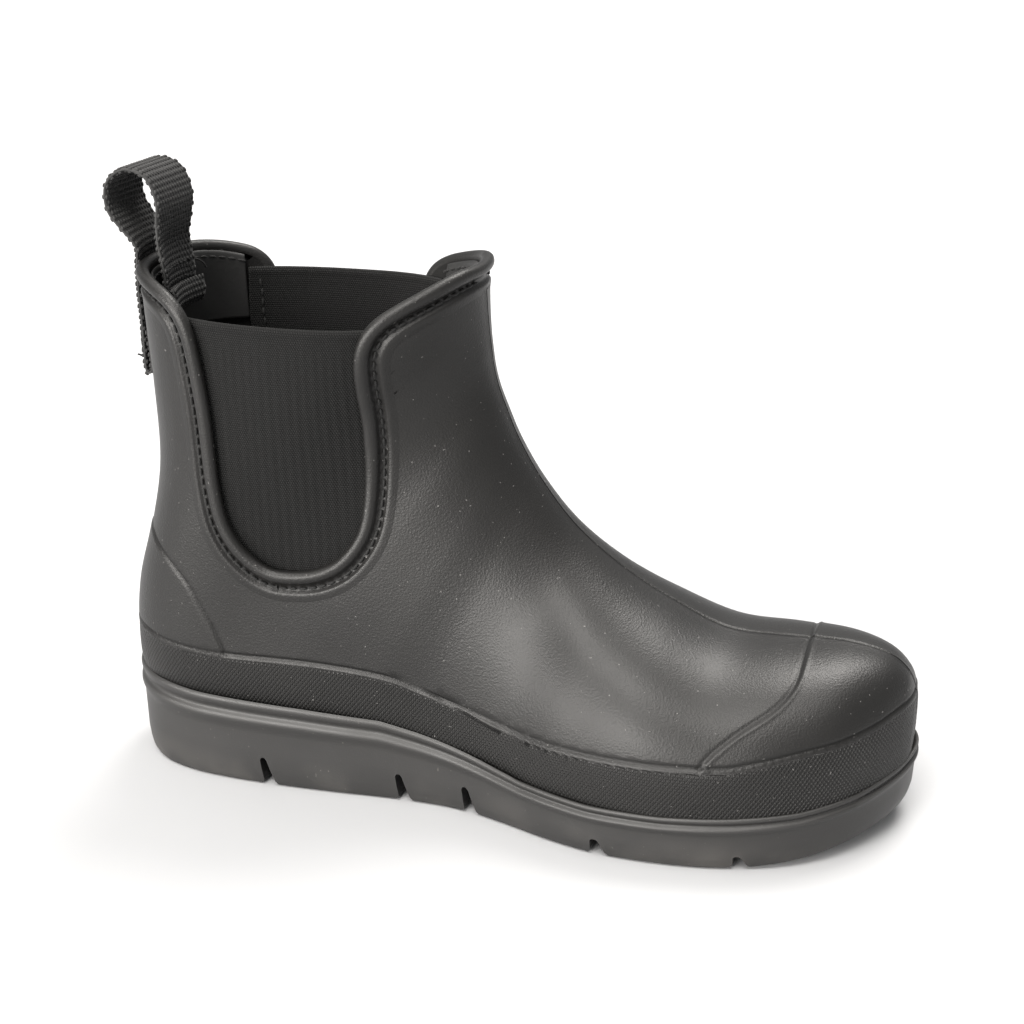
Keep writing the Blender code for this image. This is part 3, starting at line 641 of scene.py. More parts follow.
@dataclass(frozen=True)
class MouldedRubber:
    """Satin black rubber with a fine leather grain, and a knurl on the foxing band."""

    name: str = "moulded_rubber"
    colour: float = 0.007
    roughness: float = 0.42
    grain: float = 0.00010          # depth of the leather grain
    grain_scale: float = 1600.0
    knurl_pitch: float = 1.55       # millimetres between two diamonds
    knurl_depth: float = 0.00040
    dust: float = 0.25

    def make(self) -> bpy.types.Material:
        """Build the material.

        Returns:
            The material, which reads the attributes band, lining and knurl.
        """
        n = Nodes(self.name)
        band, lining = n.attribute("band"), n.attribute("lining")
        cells = n.add("ShaderNodeTexVoronoi", {"Vector": n.place(), "Scale": self.grain_scale},
                      feature="SMOOTH_F1").outputs["Distance"]
        fine = n.noise(self.grain_scale * 1.7, 2.0)
        leather = n.math("ADD", n.math("MULTIPLY", cells, 0.75), n.math("MULTIPLY", fine, 0.5))
        smooth_here = n.math("SUBTRACT", 1.0, n.math("MAXIMUM", band, lining))
        grain = n.bump(n.math("MULTIPLY", leather, smooth_here), self.grain)
        split = n.add("ShaderNodeSeparateXYZ", {0: n.attribute("knurl", "Vector")})
        pair = []
        for sign in ("ADD", "SUBTRACT"):
            run = n.math(sign, split.outputs[0], n.math("MULTIPLY", split.outputs[1], 0.8))
            turn = n.math("MULTIPLY", run, 2 * math.pi / self.knurl_pitch)
            pair.append(n.ramp(n.math("SINE", turn), -0.9, 0.3))
        diamonds = n.math("MULTIPLY", n.math("MULTIPLY", *pair), band)
        knurled = n.bump(diamonds, self.knurl_depth, 1.0, grain)
        knit = n.noise(1900.0, 2.0)
        n.feed(n.shader.inputs["Normal"],
               n.bump(n.math("MULTIPLY", knit, lining), 0.00012, 0.8, knurled))
        cloud = n.noise(22.0, 4.0)
        specks = n.ramp(n.noise(1150.0, 0.0), 0.83, 0.86, 0.0, self.dust)
        shade = n.mix(cloud, grey(self.colour * 0.82, 0.02), grey(self.colour * 1.2, 0.05))
        # Painted shade: the sunk parts of the knurl, between its diamonds, are made darker.
        knurl_recess_shade = n.math("MULTIPLY", n.math("SUBTRACT", band, diamonds), 0.3)
        shade = n.mix(n.math("MAXIMUM", knurl_recess_shade, 0.0), shade, grey(self.colour * 0.4))
        # Painted shade in the moulded grooves, read from the third value of the knurl attribute; the inner
        # face, the lining, is darkened as well. The same mask lowers the gloss there.
        painted_groove_shade = split.outputs[2]
        groove_shade_and_lining = n.math("MAXIMUM", painted_groove_shade, n.math("MULTIPLY", lining, 0.6))
        shade = n.mix(n.math("MULTIPLY", groove_shade_and_lining, 0.8), shade, grey(self.colour * 0.15))
        n.feed(n.shader.inputs["Base Color"], n.mix(specks, shade, grey(0.32, 0.03)))
        worn = n.ramp(cloud, 0.3, 0.7, self.roughness - 0.03, self.roughness + 0.05)
        rough = n.math("ADD", worn, n.math("MULTIPLY", n.math("MAXIMUM", band, lining), 0.06))
        n.feed(n.shader.inputs["Roughness"], rough)
        n.feed(n.shader.inputs["Specular IOR Level"], n.ramp(groove_shade_and_lining, 0.0, 1.0, 0.32, 0.1))
        return n.material


@dataclass(frozen=True)
class SoleRubber:
    """Matt black rubber of the cup sole with scuffs and dust near the ground."""

    name: str = "sole_rubber"
    colour: float = 0.012
    roughness: float = 0.48

    def make(self) -> bpy.types.Material:
        """Build the material.

        Returns:
            The material.
        """
        n = Nodes(self.name)
        place = n.place()
        height = n.add("ShaderNodeSeparateXYZ", {0: place}).outputs[2]
        low = n.ramp(height, 0.0, 0.012, 1.0, 0.0)
        cloud = n.noise(35.0, 5.0)
        dust = n.math("MULTIPLY", n.ramp(cloud, 0.45, 0.75), n.math("MULTIPLY", low, 0.16))
        specks = n.ramp(n.noise(1050.0, 0.0), 0.83, 0.86, 0.0, 0.2)
        shade = n.mix(cloud, grey(self.colour * 0.85, 0.02), grey(self.colour * 1.15, 0.05))
        n.feed(n.shader.inputs["Base Color"],
               n.mix(n.math("MAXIMUM", dust, specks), shade, grey(0.22, 0.08)))
        n.feed(n.shader.inputs["Roughness"],
               n.ramp(cloud, 0.3, 0.7, self.roughness - 0.04, self.roughness + 0.08))
        n.feed(n.shader.inputs["Normal"], n.bump(n.noise(1500.0, 3.0), 0.00004))
        return n.material


@dataclass(frozen=True)
class Elastic:
    """Woven elastic of the gores: fine diagonal cells with a soft sheen; reads weave in millimetres."""

    name: str = "woven_elastic"
    colour: float = 0.006
    pitch: float = 0.85

    def make(self) -> bpy.types.Material:
        """Build the material.

        Returns:
            The material.
        """
        n = Nodes(self.name)
        split = n.add("ShaderNodeSeparateXYZ", {0: n.attribute("weave", "Vector")})
        across = n.math("MULTIPLY", split.outputs[0], 2 * math.pi / self.pitch)
        up = n.math("MULTIPLY", split.outputs[1], 2 * math.pi / (self.pitch * 0.92))
        bricked = n.math("ADD", across, n.math("MULTIPLY", up, 0.5))
        cells = n.math("MULTIPLY", n.ramp(n.math("SINE", bricked), -1.0, 0.6),
                       n.ramp(n.math("SINE", up), -1.0, 0.5))
        fuzz = n.noise(2600.0, 2.0)
        height = n.math("ADD", cells, n.math("MULTIPLY", fuzz, 0.25))
        n.feed(n.shader.inputs["Normal"], n.bump(height, 0.00028))
        streak = n.noise(60.0, 3.0, n.add("ShaderNodeMapping", {
            "Vector": n.place(), "Scale": (6.0, 6.0, 0.4)}).outputs[0])
        # The weave's cells are painted lighter and the gaps between them darker, as painted shade, varied by
        # a random streak in tone.
        shade = n.mix(n.math("MULTIPLY", cells, n.ramp(streak, 0.3, 0.7, 0.75, 1.0)),
                      grey(self.colour * 0.3), grey(self.colour * 2.2))
        n.feed(n.shader.inputs["Base Color"], shade)
        n.shader.inputs["Roughness"].default_value = 0.86
        n.shader.inputs["Specular IOR Level"].default_value = 0.2
        n.shader.inputs["Sheen Weight"].default_value = 0.02
        n.shader.inputs["Sheen Roughness"].default_value = 0.4
        return n.material


@dataclass(frozen=True)
class Facing:
    """Smooth coated facing with a light crinkle."""

    name: str = "collar_facing"
    colour: float = 0.010

    def make(self) -> bpy.types.Material:
        """Build the material.

        Returns:
            The material.
        """
        n = Nodes(self.name)
        n.feed(n.shader.inputs["Base Color"],
               n.mix(n.noise(90.0, 4.0), grey(self.colour * 0.8), grey(self.colour * 1.25, 0.02)))
        n.feed(n.shader.inputs["Normal"], n.bump(n.noise(700.0, 3.0), 0.00008))
        n.shader.inputs["Roughness"].default_value = 0.48
        return n.material


@dataclass(frozen=True)
class Yarn:
    """Spun or braided polyester, for threads and for the picks of the webbing."""

    name: str
    colour: float
    fuzz: float = 3200.0

    def make(self) -> bpy.types.Material:
        """Build the material.

        Returns:
            The material.
        """
        n = Nodes(self.name)
        n.feed(n.shader.inputs["Base Color"],
               n.mix(n.noise(900.0, 3.0), grey(self.colour * 0.7), grey(self.colour * 1.5)))
        n.feed(n.shader.inputs["Normal"], n.bump(n.noise(self.fuzz, 3.0), 0.0001))
        n.shader.inputs["Roughness"].default_value = 0.75
        n.shader.inputs["Specular IOR Level"].default_value = 0.35
        n.shader.inputs["Sheen Weight"].default_value = 0.04
        return n.material


@dataclass(frozen=True)
class Footbed:
    """Brushed knit or foam of the footbed."""

    name: str
    colour: float
    scale: float

    def make(self) -> bpy.types.Material:
        """Build the material.

        Returns:
            The material.
        """
        n = Nodes(self.name)
        cells = n.add("ShaderNodeTexVoronoi", {"Vector": n.place(), "Scale": self.scale})
        n.feed(n.shader.inputs["Base Color"], n.mix(cells.outputs["Distance"],
                                                    grey(self.colour * 1.3), grey(self.colour * 0.6)))
        n.feed(n.shader.inputs["Normal"], n.bump(cells.outputs["Distance"], 0.0002))
        n.shader.inputs["Roughness"].default_value = 0.92
        n.shader.inputs["Sheen Weight"].default_value = 0.2
        return n.material


# ---------------------------------------------------------------- what repeats along a path

class RunOfStitches:
    """Geometry nodes that set rounded stitches along paths whose points carry a normal."""

    INPUTS = (("Pitch", "NodeSocketFloat"), ("Stitch Length", "NodeSocketFloat"),
              ("Stitch Width", "NodeSocketFloat"), ("Stitch Height", "NodeSocketFloat"),
              ("Roundness", "NodeSocketInt"), ("Unevenness", "NodeSocketFloat"),
              ("Seed", "NodeSocketInt"), ("Material", "NodeSocketMaterial"))

    def __init__(self) -> None:
        """Build the node group."""
        self.tree = bpy.data.node_groups.new("run_of_stitches", "GeometryNodeTree")
        face = self.tree.interface
        face.new_socket("Geometry", in_out="INPUT", socket_type="NodeSocketGeometry")
        for name, kind in self.INPUTS:
            face.new_socket(name, in_out="INPUT", socket_type=kind)
        face.new_socket("Geometry", in_out="OUTPUT", socket_type="NodeSocketGeometry")
        self.wire()

    def node(self, kind: str, inputs: dict | None = None, **settings: object) -> bpy.types.Node:
        """Add a node and feed its sockets.

        Args:
            kind: the node's type.
            inputs: socket name or index to a value or an output socket.
            settings: the node's own settings.
        Returns:
            The node.
        """
        node = self.tree.nodes.new(kind)
        for key, value in settings.items():
            setattr(node, key, value)
        for key, value in (inputs or {}).items():
            socket = node.inputs[key]
            if isinstance(value, bpy.types.NodeSocket):
                self.tree.links.new(value, socket)
            else:
                socket.default_value = value
        return node

    def wire(self) -> None:
        """Lay out the nodes: resample the path, set a stitch at each point, realize them."""
        given = self.node("NodeGroupInput").outputs
        path = self.node("GeometryNodeMeshToCurve", {0: given["Geometry"]}).outputs[0]
        points = self.node("GeometryNodeCurveToPoints", {"Curve": path, "Length": given["Pitch"]},
                           mode="LENGTH")
        normal = self.node("GeometryNodeInputNamedAttribute", {"Name": "face_out"},
                           data_type="FLOAT_VECTOR").outputs[0]
        facing = self.node("FunctionNodeAlignRotationToVector", {"Vector": normal}, axis="Z")
        turned = self.node("FunctionNodeAlignRotationToVector",
                           {"Rotation": facing.outputs[0], "Vector": points.outputs["Tangent"]},
                           axis="X", pivot_axis="Z")
        ball = self.node("GeometryNodeMeshIcoSphere", {"Radius": 0.5,
                                                       "Subdivisions": given["Roundness"]})
        low = self.node("ShaderNodeMath", {0: 1.0, 1: given["Unevenness"]}, operation="SUBTRACT")
        high = self.node("ShaderNodeMath", {0: 1.0, 1: given["Unevenness"]}, operation="ADD")
        size = self.node("FunctionNodeRandomValue", {2: low.outputs[0], 3: high.outputs[0],
                                                     "Seed": given["Seed"]}, data_type="FLOAT")
        scale = self.node("ShaderNodeCombineXYZ", {0: given["Stitch Length"],
                                                   1: given["Stitch Width"],
                                                   2: given["Stitch Height"]})
        varied = self.node("ShaderNodeVectorMath", {0: scale.outputs[0], "Scale": size.outputs[1]},
                           operation="SCALE")
        placed = self.node("GeometryNodeInstanceOnPoints", {
            "Points": points.outputs["Points"], "Instance": ball.outputs[0],
            "Rotation": turned.outputs[0], "Scale": varied.outputs[0]})
        real = self.node("GeometryNodeRealizeInstances", {0: placed.outputs[0]})
        smooth = self.node("GeometryNodeSetShadeSmooth", {0: real.outputs[0]})
        painted = self.node("GeometryNodeSetMaterial", {0: smooth.outputs[0],
                                                        "Material": given["Material"]})
        self.node("NodeGroupOutput", {0: painted.outputs[0]})

    def run(self, name: str, paths: list, values: dict) -> bpy.types.Object:
        """Set stitches along paths.

        Args:
            name: name of the new object.
            paths: (points in metres, unit normals, closed) of each path.
            values: the group's inputs by name.
        Returns:
            A plain mesh object.
        """
        points, edges, normals = [], [], []
        for line, out, closed in paths:
            start = len(points)
            points += [tuple(p) for p in line]
            normals += [tuple(v) for v in out]
            edges += [(start + i, start + i + 1) for i in range(len(line) - 1)]
            if closed:
                edges.append((start + len(line) - 1, start))
        item = new_object(name, points, [], values["Material"], edges=edges)
        store(item, "face_out", np.array(normals))
        maker = item.modifiers.new("stitches", "NODES")
        maker.node_group = self.tree
        for socket in self.tree.interface.items_tree:
            if socket.in_out == "INPUT" and socket.name in values:
                maker[socket.identifier] = values[socket.name]
        bpy.context.view_layer.update()
        ready = item.evaluated_get(bpy.context.evaluated_depsgraph_get())
        mesh = bpy.data.meshes.new_from_object(ready)
        item.modifiers.clear()
        item.data = mesh
        mesh.name = name
        return item


# ---------------------------------------------------------------- the collar's lines

class Collar:
    """Lines that run all round the collar and both windows, laid on the last."""

    MARGIN_FRONT = 1.2
    MARGIN_BACK = 2.0
    BRIDGE = 14                     # points laid across the middle of the front and the back

    def __init__(self, last: Last, step: float = 1.0) -> None:
        """Lay out the rim line of both sides.

        Args:
            last: the last.
            step: spacing of the points.
        """
        self.last = last
        self.lines = {side: even(rim_line(side), step=step) for side in Side}
        low = RIM_REAR[Side.INNER][-1][0] + self.MARGIN_BACK
        high = RIM_FRONT[Side.INNER][0][0] - self.MARGIN_FRONT
        self.kept = {side: (line[:, 0] > low) & (line[:, 0] < high)
                     for side, line in self.lines.items()}

    def half(self, side: Side, distance: float) -> tuple[np.ndarray, np.ndarray]:
        """The line of one side at a distance from the rim, from front to back, as t and angles."""
        line = beside(self.lines[side], distance)[self.kept[side]]
        return self.last.locate(line, side)

    def ring(self, distance: float) -> tuple[np.ndarray, np.ndarray]:
        """The closed line at a distance from the rim, as t and angles.

        Args:
            distance: distance from the rim's centre.
        Returns:
            t and the angle of each point.
        """
        (to, ao), (ti, ai) = self.half(Side.OUTER, distance), self.half(Side.INNER, distance)
        back = self.bridge(to[-1], ao[-1], ti[-1], ai[-1] - 2 * math.pi)
        front = self.bridge(ti[0], ai[0], to[0], ao[0])
        t = np.concatenate([to, back[0], ti[::-1], front[0]])
        return t, np.concatenate([ao, back[1], ai[::-1], front[1]])

    def bridge(self, t0: float, a0: float, t1: float, a1: float) -> tuple[np.ndarray, np.ndarray]:
        """Places between two points at nearly the same height, across the middle of an end.

        Args:
            t0, a0: the first point.
            t1, a1: the second point.
        Returns:
            t and the angle of each place.
        """
        f = np.linspace(0, 1, self.BRIDGE + 2)[1:-1]
        angle = a0 + f * (a1 - a0)
        heights = self.last.at(np.array([t0, t1]), np.array([a0, a1]))[:, 2]
        return self.last.at_height(angle, heights[0] + f * (heights[1] - heights[0])), angle

    def outline(self, side: Side, distance: float) -> np.ndarray:
        """Closed side view outline of everything beyond the line: the opening and the window.

        Args:
            side: which side of the boot.
            distance: distance of the line from the rim's centre.
        Returns:
            One row (x, z) per corner.
        """
        line = beside(self.lines[side], distance)
        start, end = line[0], line[-1]
        return np.vstack([[(30.0, start[1] + 6.0 * (distance < 2))], line,
                          [(-165.0, end[1]), (-165.0, 240.0), (30.0, 240.0)]])


# ---------------------------------------------------------------- the moulded upper

@dataclass
class Upper:
    """Moulded upper: wall, rolled rim, seam groove, foxing band, toe cap and heel counter."""

    last: Last
    collar: Collar
    wall: float = 3.0
    cell: int = 230                 # sections of the outer grid
    around: int = 124               # points round a section of it
    inner_cell: int = 110           # the same for the inner grid
    inner_around: int = 80
    side_columns: int = 24          # further points down each side wall
    seam_edge: float = 7.2          # where the rim's own strip meets the wall
    refine: float = 1.7             # the grid is finer this close to a moulded line
    band_step: float = 0.28         # relief, in millimetres
    band_bead: float = 0.16
    band_groove: float = 0.42
    cap_step: float = 0.42
    cap_bead: float = 0.2
    cap_groove: float = 0.26
    counter_step: float = 0.4
    counter_groove: float = 0.2
    fold_step: float = 0.35
    parting_lip: float = 0.13
    parting_groove: float = 0.34
    batch: int = 4000               # points compared with the sole's outline at once

    def build(self, rubber: bpy.types.Material) -> bpy.types.Object:
        """Make the upper.

        Args:
            rubber: its finish.
        Returns:
            One object with the outer wall, the inner wall and the rim.
        """
        outer = self.surface("upper_outer", rubber, self.cell, self.around, 0.0)
        inner = self.surface("upper_inner", rubber, self.inner_cell, self.inner_around, self.wall)
        rim = self.rim(rubber)
        return join("rain_boot_upper", [outer, inner, rim])

    def flat_grid(self, rings: int, around: int) -> bmesh.types.BMesh:
        """Grid over t and the angle, with extra columns down the sides and at the parting line.

        Args:
            rings: sections of the grid.
            around: evenly spaced points round a section.
        Returns:
            The grid, with t as x and the angle as y.
        """
        t = self.last.spaced(rings, 2.4)
        angle = np.linspace(-math.pi, math.pi, around)
        low = math.pi / 2 + np.arcsin(np.linspace(0, 1, self.side_columns)[1:-1] ** 2.5)
        fine = np.array([-0.022, -0.012, -0.005, 0.0, 0.005, 0.012, 0.022])
        angle = angle[np.abs(angle) > 0.03]
        angle = np.sort(np.concatenate([angle, low, -low, fine]))
        angle = angle[np.append(True, np.diff(angle) > 1e-3)]
        work = bmesh.new()
        rows = [[work.verts.new((a, b, 0.0)) for b in angle] for a in t]
        for low, high in zip(rows, rows[1:]):
            for k in range(len(angle) - 1):
                work.faces.new((low[k], low[k + 1], high[k + 1], high[k]))
        return work

    def flat_points(self, work: bmesh.types.BMesh) -> tuple[np.ndarray, np.ndarray]:
        """t and angle of the vertices of a flat grid.

        Args:
            work: the flat grid.
        Returns:
            t and the angle of each vertex.
        """
        work.verts.index_update()
        co = np.array([v.co[:2] for v in work.verts])
        return co[:, 0], co[:, 1]

    def line_distance(self, place: np.ndarray) -> np.ndarray:
        """Distance in the side view from the nearest moulded line.

        Args:
            place: points on the last.
        Returns:
            One distance per point.
        """
        xz = place[:, [0, 2]]
        best = np.full(len(place), np.inf)
        for line in (BAND_TOP, TOE_CAP, HEEL_COUNTER, BAND_FOLD):
            best = np.minimum(best, np.abs(nearest_on(smooth_line(line, 4), xz)[1]))
        return best

    def refined(self, work: bmesh.types.BMesh) -> None:
        """Split the cells near the moulded lines, twice, and closer to them the second time.

        Args:
            work: the flat grid.
        """
        for reach in (self.refine * 3.2, self.refine * 1.5):
            t, angle = self.flat_points(work)
            place = self.last.at(t, angle)
            near = self.line_distance(place) < reach
            near &= place[:, 2] < 100.0
            edges = [e for e in work.edges if near[e.verts[0].index] and near[e.verts[1].index]]
            bmesh.ops.subdivide_edges(work, edges=edges, cuts=1, use_grid_fill=True)

    def surface(self, name: str, rubber: bpy.types.Material, rings: int, around: int,
                depth: float) -> bpy.types.Object:
        """One face of the wall.

        Args:
            name: the object's name.
            rubber: its finish.
            rings: sections of the grid.
            around: points round a section.
            depth: 0 for the outer face, or the wall's thickness for the inner one.
        Returns:
            The object.
        """
        work = self.flat_grid(rings, around)
        if not depth:
            self.refined(work)
        distance = 0.4 if depth else self.seam_edge
        t, angle = self.trimmed(work, distance, depth)
        height, band, knurl = self.relief(t, angle) if not depth else (
            np.full(len(t), -depth), np.zeros(len(t)), np.zeros((len(t), 3)))
        points = self.last.place(self.last.lifted(t, angle, height))
        for vert, point in zip(work.verts, points):
            vert.co = point
        mesh = bpy.data.meshes.new(name)
        work.to_mesh(mesh)
        work.free()
        item = bpy.data.objects.new(name, mesh)
        bpy.context.scene.collection.objects.link(item)
        mesh.materials.append(rubber)
        store(item, "band", band)
        store(item, "lining", np.full(len(t), 1.0 if depth else 0.0))
        store(item, "knurl", knurl)
        self.closed_up(item, depth)
        return item

    def closed_up(self, item: bpy.types.Object, depth: float) -> None:
        """Weld the back, cap the toe tip and turn the faces the right way.

        Args:
            item: a face of the wall.
            depth: 0 for the outer face, or the wall's thickness.
        """
        work = bmesh.new()
        work.from_mesh(item.data)
        bmesh.ops.remove_doubles(work, verts=work.verts, dist=2e-6)
        tip = max(v.co.x for v in work.verts)
        rim = [e for e in work.edges if e.is_boundary
               and all(v.co.x > tip - 0.004 and v.co.z > 0.028 for v in e.verts)]
        made = bmesh.ops.edgeloop_fill(work, edges=rim)["faces"] if rim else []
        if made:
            bmesh.ops.poke(work, faces=made)
        bmesh.ops.recalc_face_normals(work, faces=work.faces)
        probe = max(work.faces, key=lambda f: f.calc_center_median().y)
        wants = -1.0 if depth else 1.0
        if probe.normal.y * wants < 0:
            bmesh.ops.reverse_faces(work, faces=work.faces)
        work.to_mesh(item.data)
        work.free()
        item.data.shade_smooth()

    def trimmed(self, work: bmesh.types.BMesh, distance: float,
                depth: float) -> tuple[np.ndarray, np.ndarray]:
        """Cut a flat grid at the collar and inside the sole.

        Args:
            work: the grid.
            distance: where the cut lies from the rim's centre.
            depth: how deep this face of the wall lies.
        Returns:
            t and angle of the vertices that are left, with those of the cut moved onto it.
        """
        t, angle = self.flat_points(work)
        place = self.last.at(t, angle)
        side_of = {Side.OUTER: angle < 0, Side.INNER: angle >= 0}
        beyond = np.zeros(len(t), bool)
        for side, here in side_of.items():
            beyond |= here & inside(self.collar.outline(side, distance), place[:, [0, 2]])
        buried = np.zeros(len(t), bool)
        if not depth:
            buried = (place[:, 2] < lip_height(place[:, 0]) - 7.0) & (np.abs(angle) > 1.0)
            buried &= t > 1.2
        allowed = 0.0 if depth else 0.5
        gone = [f for f in work.faces if sum(beyond[v.index] for v in f.verts) > len(f.verts) * allowed
                or all(buried[v.index] for v in f.verts)]
        bmesh.ops.delete(work, geom=gone, context="FACES")
        t, angle = self.flat_points(work)
        edge = np.zeros(len(t), bool)
        for e in work.edges:
            if e.is_boundary:
                edge[e.verts[0].index] = edge[e.verts[1].index] = True
        place = self.last.at(t, angle)
        for side in Side:
            line = beside(self.collar.lines[side], distance)
            kept = self.collar.kept[side]
            mine = np.flatnonzero(edge & (np.sign(angle) == side.value) & (place[:, 2] > 70.0)
                                  & (place[:, 0] < line[kept][0, 0]) & (place[:, 0] > line[kept][-1, 0])
                                  & (t > 3))
            foot, gap = nearest_on(line, place[mine][:, [0, 2]])
            close = np.abs(gap) < 4.0
            t[mine[close]], angle[mine[close]] = self.last.locate(foot[close], side)
        ends = np.flatnonzero(edge & (place[:, 2] > 160.0) & (np.abs(np.sin(angle)) < 0.24))
        for end, level in ((End.FRONT, RIM_FRONT[Side.OUTER][0][1]),
                           (End.REAR, RIM_REAR[Side.OUTER][-1][1])):
            mine = ends[np.sign(place[ends, 0] + 70.0) == end.value]
            ring_t, ring_a = self.collar.ring(distance)
            ring = self.last.at(ring_t, ring_a)
            near = ring[(np.sign(ring[:, 0] + 70.0) == end.value)
                        & (ring[:, 2] > level - distance - 6.0) & (np.abs(ring[:, 1]) < 25)]
            near = near[np.argsort(near[:, 1])]
            wanted = np.interp(place[mine, 1], near[:, 1], near[:, 2])
            t[mine] = self.last.at_height(angle[mine], wanted)
        return t, angle

    def relief(self, t: np.ndarray, angle: np.ndarray) -> tuple[np.ndarray, np.ndarray, np.ndarray]:
        """What is moulded on the outer face.

        Args:
            t: section positions.
            angle: angles.
        Returns:
            The height above the smooth last, the mask of the knurled band, and the knurl's coordinates with
            the painted shade of the grooves as their third value.
        """
        place = self.last.at(t, angle)
        xz = place[:, [0, 2]]
        above = nearest_on(smooth_line(BAND_TOP, 4), xz)[1]
        below = -above
        low = (place[:, 2] < 80.0) & (np.abs(above) < 40.0)
        height = np.where(low, self.band_step * step_up(below, 0.0, 0.7)
                          - self.band_groove * hump(above, 0.75, 0.9), 0.0)
        height += np.where(low, self.band_bead * hump(below, 0.9, 0.8), 0.0)
        cap = nearest_on(smooth_line(TOE_CAP, 4), xz)[1]
        on_cap = (place[:, 0] > 60.0) & (above > -0.4)
        height += np.where(on_cap, self.cap_step * step_up(cap, -0.5, 0.6)
                           - self.cap_groove * hump(cap, -0.9, 1.0)
                           + self.cap_bead * hump(cap, 0.8, 0.9), 0.0)
        counter = nearest_on(smooth_line(HEEL_COUNTER, 4), xz)[1]
        on_counter = (place[:, 0] < -80.0) & (above > -0.4) & (place[:, 2] < 110.0)
        height += np.where(on_counter, self.counter_step * step_up(-counter, -0.4, 0.7)
                           - self.counter_groove * hump(counter, 0.8, 0.9), 0.0)
        fold = nearest_on(np.array(BAND_FOLD), xz)[1]
        in_band = step_up(below, 1.2, 2.2) * (place[:, 2] < 80.0)
        behind_toe = step_up(-place[:, 0], -100.0, -70.0)
        height += in_band * self.fold_step * step_up(fold, -0.8, 0.8) * behind_toe
        parting = np.abs(angle) * (place[:, 2] > 30.0)
        height += np.where(np.abs(angle) < 0.5, self.parting_lip * hump(parting, 0.014, 0.012)
                           - self.parting_groove * hump(parting, 0.0, 0.009), 0.0)
        # Painted shade for the grooves of the band, the toe cap, the heel counter and the parting line,
        # stored with the knurl's coordinates.
        painted_groove_shade = np.where(low, 0.6 * hump(above, 0.75, 1.0), 0.0)
        painted_groove_shade = np.maximum(painted_groove_shade, np.where(on_cap, 0.4 * hump(cap, -0.9, 1.0), 0.0))
        painted_groove_shade = np.maximum(painted_groove_shade, np.where(on_counter, 0.6 * hump(counter, 0.8, 0.9), 0.0))
        painted_groove_shade = np.maximum(painted_groove_shade, np.where(np.abs(angle) < 0.5, 0.8 * hump(parting, 0.0, 0.011), 0.0))
        run = np.zeros(len(t))
        run[in_band > 0] = self.run_along(place[in_band > 0, :2])
        return height, in_band, np.stack([run, place[:, 2], painted_groove_shade], 1)

    def run_along(self, points: np.ndarray) -> np.ndarray:
        """Length along the sole's outline at the place nearest to each point (x, y).

        Args:
            points: one row (x, y) per point.
        Returns:
            One length per point.
        """
        ring = even(smooth_line(SOLE_OUTLINE + SOLE_OUTLINE[:1]), step=1.0)
        run, tangent = arc_length(ring), np.gradient(ring, axis=0)
        tangent /= np.linalg.norm(tangent, axis=1)[:, None]
        result = np.zeros(len(points))
        for start in range(0, len(points), self.batch):
            some = points[start:start + self.batch]
            gap = some[:, None] - ring[None]
            k = np.argmin((gap ** 2).sum(2), axis=1)
            result[start:start + self.batch] = run[k] + (gap[np.arange(len(some)), k]
                                                         * tangent[k]).sum(1)
        return result

    def rim(self, rubber: bpy.types.Material) -> bpy.types.Object:
        """Rolled rim, seam groove and step ridge, as one strip swept round the collar.

        Args:
            rubber: its finish.
        Returns:
            The object.
        """
        turn = np.radians(np.linspace(-70.0, -338.0, 17))
        profile = [(2.3 * math.cos(a), -0.8 + 2.3 * math.sin(a)) for a in turn]
        profile += [(2.5, -0.42), (2.85, -0.78), (3.5, -0.95), (4.4, -0.9), (4.95, -0.6),
                    (5.3, -0.1), (5.7, 0.2), (6.3, 0.32), (7.0, 0.24), (7.8, 0.12), (8.4, 0.04),
                    (9.2, -0.14)]
        rows = []
        for distance, height in profile:
            t, angle = self.collar.ring(distance)
            rows.append(self.last.lifted(t, angle, np.full(len(t), height)))
        rows = self.last.place(np.array(rows))
        count, around = rows.shape[:2]
        faces = grid_faces(count, around, closed=True)
        item = new_object("upper_rim", rows.reshape(-1, 3), faces, rubber, outward=False)
        work = bmesh.new()
        work.from_mesh(item.data)
        work.faces.ensure_lookup_table()
        ring_t, ring_a = self.collar.ring(6.3)
        out = self.last.normals(ring_t[:1], ring_a[:1])[0]
        probe = work.faces[(count - 5) * around]
        if probe.normal @ Vector(out) < 0:
            bmesh.ops.reverse_faces(work, faces=work.faces)
        work.to_mesh(item.data)
        work.free()
        item.data.shade_smooth()
        for name in ("band", "lining"):
            store(item, name, np.zeros(count * around))
        # Painted shade in the seam groove.
        painted_groove_shade = np.zeros((count, around, 3))
        painted_groove_shade[..., 2] = 0.25 * hump(np.array(profile)[:, 0], 3.9, 1.1)[:, None]
        store(item, "knurl", painted_groove_shade.reshape(-1, 3))
        return item


def lip_height(x: np.ndarray) -> np.ndarray:
    """Height of the sole's lip at x."""
    xs, zs = zip(*LIP)
    return np.interp(x, xs, zs)


# ---------------------------------------------------------------- the cup sole

